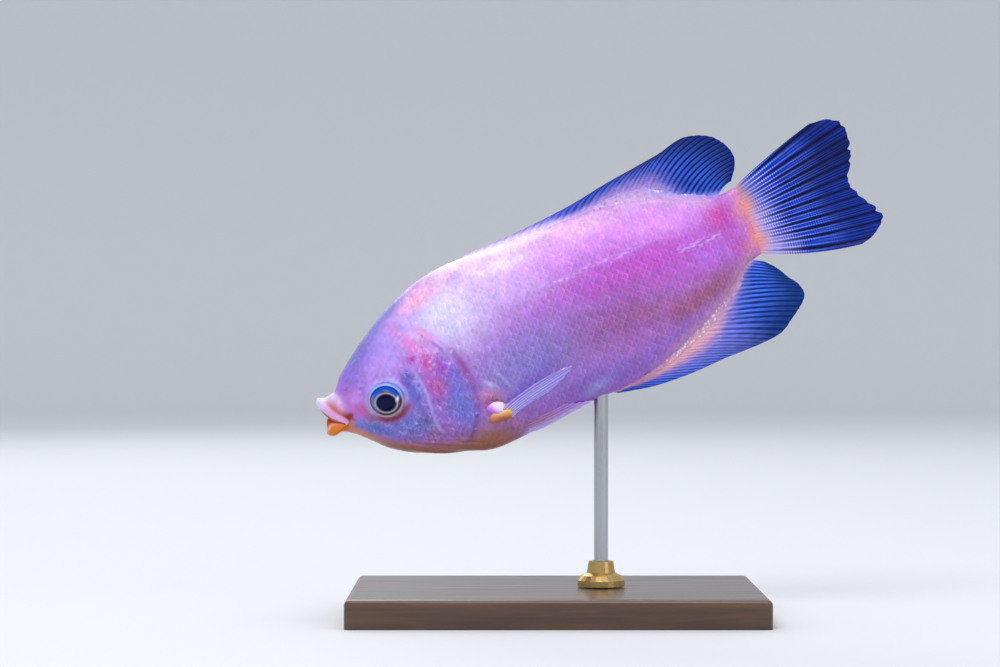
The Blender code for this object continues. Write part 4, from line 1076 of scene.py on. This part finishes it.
def make_pectoral(word, side, finish, flesh, spread=12, rows=48):
    """A pectoral fin: a thin fan of pale rays on a fleshy root."""
    steps, from_ray = ray_steps(PECTORAL_RAYS, spread)
    at = steps / PECTORAL_RAYS
    root = smooth_places(PECTORAL_ROOTS, at)
    tip = lerp(root, smooth_places(PECTORAL_TIPS, at), (1 - 0.02 * (2 * from_ray) ** 2)[:, None])
    share = np.linspace(0, 1, rows)
    grid = bowed(root[:, None], tip[:, None], np.array((0, 0.4, 0.25)), share[:, None]) * (1, side, 1)
    at, part = at[:, None], from_ray[:, None]
    crest = ridge(part, 0.17) * (1 - 0.85 * ramp(at, 0.88, 1))
    half = (0.1 + 0.15 * crest * (1 - 0.4 * share)) * (1 - 0.4 * share ** 5)
    half = half + 0.35 * np.exp(-(share / 0.12) ** 2)
    streaks = crest * lerp(0.45, 0.95, ramp(at, 0.1, 0.45)) * (1 - 0.6 * ramp(share, 0.5, 1))
    colours = painted((166, 150, 244), ((150, 138, 248), at), ((246, 240, 255), streaks),
                      ((238, 170, 160), 0.7 * np.exp(-(share / 0.08) ** 2)))
    fin = sheet_mesh(f"pectoral_rays_{word}", grid, half, grid_normals(grid), np.clip(colours, 0, 1), finish)
    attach(fin, "root")
    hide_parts(f"pectoral_fin_{word}")
    for number, (place, radii, turn, inner, outer) in enumerate(PECTORAL_LOBES):
        lobe = make_lobe(f"pectoral_root_{word}_{number + 1}", place, radii, turn, side, inner, outer, flesh)
        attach(lobe, "root")


def ball_grid(segments, rings):
    """Unit directions of a ball with its poles fore and aft, and the unwrap of its grid."""
    dips, turns = np.meshgrid(np.linspace(0.02, math.pi - 0.02, rings),
                              np.arange(segments + 1) * TURN / segments, indexing="ij")
    ways = columns(-np.cos(dips), np.sin(dips) * np.cos(turns), np.sin(dips) * np.sin(turns))
    return ways, columns(dips / math.pi * 0.94 + 0.03, turns / TURN * 0.94 + 0.03)


def closed_ball(name, places, charts, colours, finish):
    """A closed piece from rings round one axis, its faces turned outwards."""
    ends = [places[0].mean(axis=0), places[-1].mean(axis=0)]
    tips = [columns(charts[end, :, 0].mean() + shift, charts[end, :-1, 1])
            for end, shift in ((0, -0.02), (-1, 0.02))]
    made = closed_piece(name, places, colours, charts, ends, tips, finish)
    recalculate(made)
    return made


def make_lobe(name, place, radii, turn, side, inner, outer, finish):
    """A soft fleshy lobe at the root of a pectoral fin."""
    ways, charts = ball_grid(48, 32)
    fore, up = ways[..., 0], ways[..., 2]
    local = ways * (1 + 0.12 * ripples(fore * 2, up * 2, 2.2, 41))[..., None] * radii
    local[..., 2] *= 1 + 0.35 * fore
    cos, sin = math.cos(math.radians(turn)), math.sin(math.radians(turn))
    x = local[..., 0] * cos + local[..., 2] * sin
    z = local[..., 2] * cos - local[..., 0] * sin
    places = (columns(x, local[..., 1], z) + place) * (1, side, 1)
    # first colour at the lower front, darker partly as painted shade under the lobe; second at the upper rear
    colours = painted(inner, (outer, ramp(fore + up, -0.7, 0.5)))
    return closed_ball(name, places, charts, colours, finish)


def make_pelvic(word, side, finish, spread=12, rows=48):
    """A pelvic fin folded back along the belly."""
    steps, from_ray = ray_steps(PELVIC_RAYS, spread)
    at = steps / PELVIC_RAYS
    share = np.linspace(0, 1, rows)
    near = smooth_places(PELVIC_ROOTS, at)
    far = lerp(near, smooth_places(PELVIC_TIPS, at), (1 - 0.05 * (2 * from_ray) ** 2)[:, None])
    ends = lerp(near[:, None], far[:, None], share[:, None])
    x, angle = ends[..., 0], np.radians(ends[..., 1])
    at, part = at[:, None], from_ray[:, None]
    lift = -0.3 + 0.75 * ramp(share, 0, 0.4) * (1 - 0.5 * ramp(at, 0.6, 1))
    grid = on_section(x, angle) + section_normals(x, angle) * lift[..., None]
    crest = ridge(part, 0.16)
    half = (0.1 + 0.15 * crest) * (1 - 0.4 * share ** 5) + 0.2 * np.exp(-(share / 0.12) ** 2)
    upper = ramp(at, 0.3, 0.7)
    skin = markings(grid)
    membrane = lerp(linear(196, 180, 255), skin, 0.85 * upper[..., None])
    colours = painted(membrane, ((206, 194, 255), crest * lerp(0.9, 0.25, upper)))
    colours = lerp(skin, colours, ramp(share, 0.0, 0.15)[:, None])
    grid = grid * (1, side, 1)
    fin = sheet_mesh(f"pelvic_rays_{word}", grid, half, grid_normals(grid), np.clip(colours, 0, 1), finish)
    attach(fin, "root")
    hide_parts(f"pelvic_fin_{word}")


def make_eye(word, side, finish):
    """An eye: domed pupil in a silver ring, in a blue iris under a clear wet surface."""
    turns = np.arange(97) * TURN / 96
    dome_radii, back_radii = np.linspace(0.02, EYE_RADIUS, 64), np.linspace(EYE_RADIUS, 0.02, 10)[1:]
    radii = np.concatenate([dome_radii, back_radii])[:, None]
    front = np.arange(len(radii))[:, None] < len(dome_radii)
    share = radii / EYE_RADIUS
    depth = EYE_THICKNESS * np.sqrt(np.clip(1 - share ** 2, 0, 1))
    dome = depth + 0.05 * ramp(-radii, -2.15, -1.85)
    dome = dome - 0.1 * ridge(radii - 2.45, 0.35) + 0.04 * ridge(radii - 3.2, 0.3)
    dome = np.where(front, dome, -depth) * side
    across, up = radii * np.cos(turns), radii * np.sin(turns)
    yaw = math.radians(EYE_YAW) * side
    x = across * math.cos(yaw) - dome * math.sin(yaw)
    y = across * math.sin(yaw) + dome * math.cos(yaw)
    centre = float(surface_half(*EYE_PLACE)) - EYE_DEPTH
    squash = (1 - EYE_FLATNESS) * levelled(x, up)[1]
    places = columns(x - squash * math.sin(NOSE_DOWN) + EYE_PLACE[0], y + centre * side,
                     up - squash * math.cos(NOSE_DOWN) + EYE_PLACE[1])
    size = 0.22 * share
    charts = columns(np.where(front, 0.27, 0.77) + size * np.cos(turns), 0.5 + size * np.sin(turns))
    eye = closed_ball(f"eye_globe_{word}", places, charts, eye_colours(across, up), finish)
    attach(eye, "root")
    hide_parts(f"eye_{word}")


def eye_colours(across, up):
    """Linear colours of the eye: navy pupil, silver ring, iris blue above and grey below, pale rim.

    The rim is paler on top partly as a painted reflection, and a white fleck right of the pupil is a painted
    highlight.
    """
    radius = np.hypot(across, up)
    level, height = levelled(across, up)
    from_pupil = np.hypot((level - 0.15) / 1.02, (height + 0.57) / 0.95)
    high = ramp(height / np.maximum(radius, 0.1), -0.05, 0.6)
    iris = painted((74, 66, 78),
                   ((110, 128, 176), 0.75 * ramp(-level, 0.5, 2.5)),
                   ((14, 84, 200), 0.97 * high * ramp(radius, 1.9, 2.4)),
                   ((8, 30, 104), 0.85 * high * ridge(radius - 3.1, 0.17)),
                   ((40, 36, 54), 0.8 * (1 - high) * ridge(radius - 3.2, 0.13)),
                   ((30, 30, 60), 0.7 * ridge(from_pupil - 2.08, 0.09)),
                   ((172, 158, 176), 0.9 * ridge(from_pupil - 2.32, 0.16)),
                   # painted highlight: a white fleck of reflected light on the iris, right of the pupil
                   ((236, 232, 246), 0.95 * spot(level, height, (2.5, 0.35), (0.3, 0.62), -12)))
    iris = iris * (1 + 0.22 * ripples(across * 3, up * 3, 1.6, 51))[..., None]
    return np.clip(painted(iris,
                           ((190, 164, 176), 0.85 * (1 - high) * ramp(radius, 3.36, 3.5)),
                           # pale upper rim: partly a painted reflection along the top edge of the eye
                           ((154, 180, 244), 0.9 * high * ramp(radius, 3.2, 3.4)),
                           ((2, 3, 56), fall(from_pupil, 1.9, 2.02))), 0, 1)


def base_material(name):
    made = bpy.data.materials.new(name)
    made.use_nodes = True
    return made, made.node_tree, made.node_tree.nodes["Principled BSDF"]


def connect(tree, socket, value):
    """Sets a socket to a value, or links it to another socket."""
    if isinstance(value, bpy.types.NodeSocket):
        tree.links.new(value, socket)
    else:
        socket.default_value = value


def set_inputs(tree, node, **inputs):
    """Sets or links a node's inputs by name, with _ for each space in a name."""
    for name, value in inputs.items():
        connect(tree, node.inputs[name.replace("_", " ")], value)


def add_node(tree, kind, **inputs):
    node = tree.nodes.new(f"ShaderNode{kind}")
    set_inputs(tree, node, **inputs)
    return node


def noise(tree, scale, detail=4.0, roughness=0.55, stretch=(1, 1, 1)):
    """Values of a noise texture in the piece's own space, stretched if asked."""
    own_space = add_node(tree, "TexCoord").outputs["Object"]
    stretched = add_node(tree, "Mapping", Vector=own_space, Scale=stretch).outputs["Vector"]
    texture = add_node(tree, "TexNoise", Vector=stretched, Scale=scale, Detail=detail, Roughness=roughness)
    return texture.outputs["Fac"]


def map_range(tree, value, low, high, to_low, to_high):
    node = add_node(tree, "MapRange", Value=value, From_Min=low, From_Max=high, To_Min=to_low, To_Max=to_high)
    return node.outputs["Result"]


def bump(tree, height, strength, distance):
    return add_node(tree, "Bump", Height=height, Strength=strength, Distance=distance).outputs["Normal"]


def math_node(tree, operation, *values):
    """The outcome of an operation on values that are sockets or numbers."""
    node = add_node(tree, "Math")
    node.operation = operation
    for socket, value in zip(node.inputs, values):
        connect(tree, socket, value)
    return node.outputs[0]


def two_colours(tree, value, low, high):
    """A colour that runs between two ends given as (value, colour)."""
    node = add_node(tree, "ValToRGB", Fac=value)
    for element, (position, colour) in zip(node.color_ramp.elements, (low, high)):
        element.position = position
        element.color = (*colour, 1)
    return node.outputs["Color"]


def rung_shade(tree, pitch):
    """Brightness of the fine cross stripes of the fin rays."""
    places = add_node(tree, "Attribute")
    places.attribute_name = "rungs"
    split = add_node(tree, "SeparateXYZ", Vector=places.outputs["Vector"])
    wave = math_node(tree, "SINE", math_node(tree, "MULTIPLY", split.outputs["X"], TURN / pitch))
    return math_node(tree, "MULTIPLY_ADD", wave, split.outputs["Y"], 1.0)


def living_material(name, roughness, coat, specular, flesh=0.0, grain=2600, tint=(0.9, 1.1), pits=0.00004,
                    rungs=None):
    """Wet skin, scales or fin: the painted markings with fine mottling and pores.

    Pits are the depth of its pores in metres and rungs the pitch of the cross stripes along its rays.
    """
    made, tree, shader = base_material(name)
    markings_layer = add_node(tree, "VertexColor")
    markings_layer.layer_name = "markings"
    shade = map_range(tree, noise(tree, grain * 0.35), 0.3, 0.7, *tint)
    if rungs:
        shade = math_node(tree, "MULTIPLY", shade, rung_shade(tree, rungs))
    scaled = add_node(tree, "VectorMath")
    scaled.operation = "SCALE"
    connect(tree, scaled.inputs[0], markings_layer.outputs["Color"])
    connect(tree, scaled.inputs["Scale"], shade)
    pores = noise(tree, grain, detail=3)
    set_inputs(tree, shader, Base_Color=scaled.outputs["Vector"],
               Roughness=map_range(tree, pores, 0.3, 0.7, roughness - 0.08, roughness + 0.1),
               Normal=bump(tree, pores, 0.6, pits),
               Coat_Weight=coat, Coat_Roughness=0.12, Specular_IOR_Level=specular)
    if flesh:
        set_inputs(tree, shader, Subsurface_Weight=flesh, Subsurface_Radius=(1.0, 0.45, 0.4),
                   Subsurface_Scale=0.0012)
    return made


def wood_material():
    """Dark stained wood with long grain under a satin varnish."""
    made, tree, shader = base_material("stained_wood")
    grain = noise(tree, 55, detail=8, roughness=0.62, stretch=(0.35, 6, 6))
    pores = noise(tree, 420, detail=3, stretch=(0.08, 1.6, 1.6))
    colour = two_colours(tree, grain, (0.32, (0.022, 0.0085, 0.004)), (0.7, (0.115, 0.046, 0.019)))
    set_inputs(tree, shader, Base_Color=colour, Roughness=map_range(tree, pores, 0.35, 0.65, 0.3, 0.44),
               Normal=bump(tree, pores, 0.35, 0.00008), Coat_Weight=0.5, Coat_Roughness=0.2)
    return made


def metal_material(name, colour, roughness, stretch):
    """Metal with fine marks of brushing or turning."""
    made, tree, shader = base_material(name)
    marks = noise(tree, 900, detail=5, roughness=0.6, stretch=stretch)
    dull = tuple(channel * 0.82 for channel in colour)
    set_inputs(tree, shader, Base_Color=two_colours(tree, marks, (0.3, dull), (0.7, colour)),
               Roughness=map_range(tree, marks, 0.3, 0.7, roughness - 0.07, roughness + 0.1),
               Normal=bump(tree, marks, 0.25, 0.00002), Metallic=1.0)
    return made


def floor_material():
    made, tree, shader = base_material("studio_floor")
    set_inputs(tree, shader, Base_Color=(0.7, 0.71, 0.73, 1),
               Roughness=map_range(tree, noise(tree, 600, detail=2), 0.3, 0.7, 0.75, 0.85))
    return made


def make_floor():
    """A round floor that sweeps up into a low backdrop on every side."""
    middle, flat, bend, sides = 0.6, 1.5, 0.5, 96
    profile = [(middle, 0.0), (flat, 0.0)]
    profile += [(flat + bend * math.sin(a), bend - bend * math.cos(a)) for a in np.linspace(0.1, 1.35, 12)]
    turns = np.arange(sides) * TURN / sides
    rings = np.array([columns(radius * np.cos(turns), radius * np.sin(turns), height)
                      for radius, height in profile])
    closed, _ = grid_faces(len(rings), sides)
    corners = np.concatenate([rings.reshape(-1, 3), [(0, 0, 0)]])
    k = np.arange(sides)
    centre = columns(len(corners) - 1, k, (k + 1) % sides)
    floor = mesh_from("studio_sweep", corners, [closed[:, ::-1], centre], materials=[floor_material()])


def area_light(name, place, target, size, power, colour=(1, 1, 1)):
    data = bpy.data.lights.new(name, "AREA")
    data.shape = "RECTANGLE"
    data.size, data.size_y = size
    data.energy = power
    data.color = colour
    lamp = bpy.data.objects.new(name, data)
    lamp.location = place
    lamp.rotation_euler = (Vector(target) - Vector(place)).to_track_quat("-Z", "Y").to_euler()
    bpy.context.scene.collection.objects.link(lamp)


def light_scene():
    """Soft light from above and from the front, with a pale surround."""
    middle = (0.005, 0, 0.06)
    area_light("key", (-0.3, -0.7, 0.9), middle, (0.5, 0.5), 5.2, (1, 0.99, 0.98))
    area_light("top", (0.1, 0.1, 1.0), middle, (0.7, 0.7), 2.8, (0.98, 0.98, 1))
    area_light("fill", (0.8, -0.7, 0.4), middle, (0.6, 0.6), 1.0, (0.96, 0.97, 1))
    area_light("back", (-0.3, 0.8, 0.6), middle, (0.6, 0.5), 2.0, (1, 1, 1))
    world = bpy.data.worlds.new("surround")
    world.use_nodes = True
    shade = world.node_tree.nodes["Background"]
    shade.inputs["Color"].default_value = (0.9, 0.93, 1.0, 1)
    shade.inputs["Strength"].default_value = 0.72
    bpy.context.scene.world = world
    bpy.context.scene.view_settings.view_transform = "Standard"


def make_camera():
    """The photo's view: level, square to the fish's side."""
    data = bpy.data.cameras.new("photo_view")
    data.lens = 100
    data.sensor_width = 36
    camera = bpy.data.objects.new("photo_view", data)
    camera.location = (-0.0117, -0.584, 0.0593)
    camera.rotation_euler = (math.pi / 2, 0, 0)
    bpy.context.scene.collection.objects.link(camera)
    bpy.context.scene.camera = camera


def finish_stand():
    """Puts the stand's finishes on its CAD nodes."""
    finishes = {"stand_base": wood_material(),
                "stand_rod": metal_material("brushed_steel_rod", (0.52, 0.53, 0.55), 0.27, (1, 1, 0.04)),
                "stand_collar": metal_material("turned_brass", (0.6, 0.41, 0.15), 0.28, (0.3, 0.3, 6))}
    for name, finish in finishes.items():
        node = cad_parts[name]
        for place in node.material_slots:
            place.material = finish


def main():
    skin_finish = living_material("wet_skin", 0.42, 0.12, 0.3, flesh=0.2)
    scale_finish = living_material("pearly_scales", 0.38, 0.1, 0.35, grain=3200)
    fin_finish = living_material("ray_and_membrane", 0.4, 0.04, 0.14, grain=3000, pits=0.00002, rungs=0.52)
    pale_fin_finish = living_material("pale_fin", 0.4, 0.1, 0.3, flesh=0.2, grain=3000, pits=0.00002)
    eye_finish = living_material("wet_eye", 0.14, 0.1, 0.1, grain=2000, tint=(0.97, 1.03), pits=0.000002)
    table = Unrolled(make_skin(skin_finish))
    for side, word in ((-1, "left"), (1, "right")):
        make_coat(table, side, word, scale_finish)
        make_eye(word, side, eye_finish)
        make_pectoral(word, side, pale_fin_finish, skin_finish)
        make_pelvic(word, side, pale_fin_finish)
    for side, word in ((-1, "left"), (1, "right")):
        make_sheath(f"dorsal_sheath_{word}", BACK_LINE, 1, side, DORSAL_LOOK, scale_finish)
        make_sheath(f"anal_sheath_{word}", BELLY_LINE, -1, side, ANAL_LOOK, scale_finish)
    make_median_fin("dorsal_fin", BACK_LINE, DORSAL_ROOTS, DORSAL_TIPS, 1, fin_finish, DORSAL_LOOK)
    make_median_fin("anal_fin", BELLY_LINE, ANAL_ROOTS, ANAL_TIPS, -1, fin_finish, ANAL_LOOK)
    make_tail_fin(fin_finish)
    finish_stand()
    make_floor()
    light_scene()
    make_camera()


main()
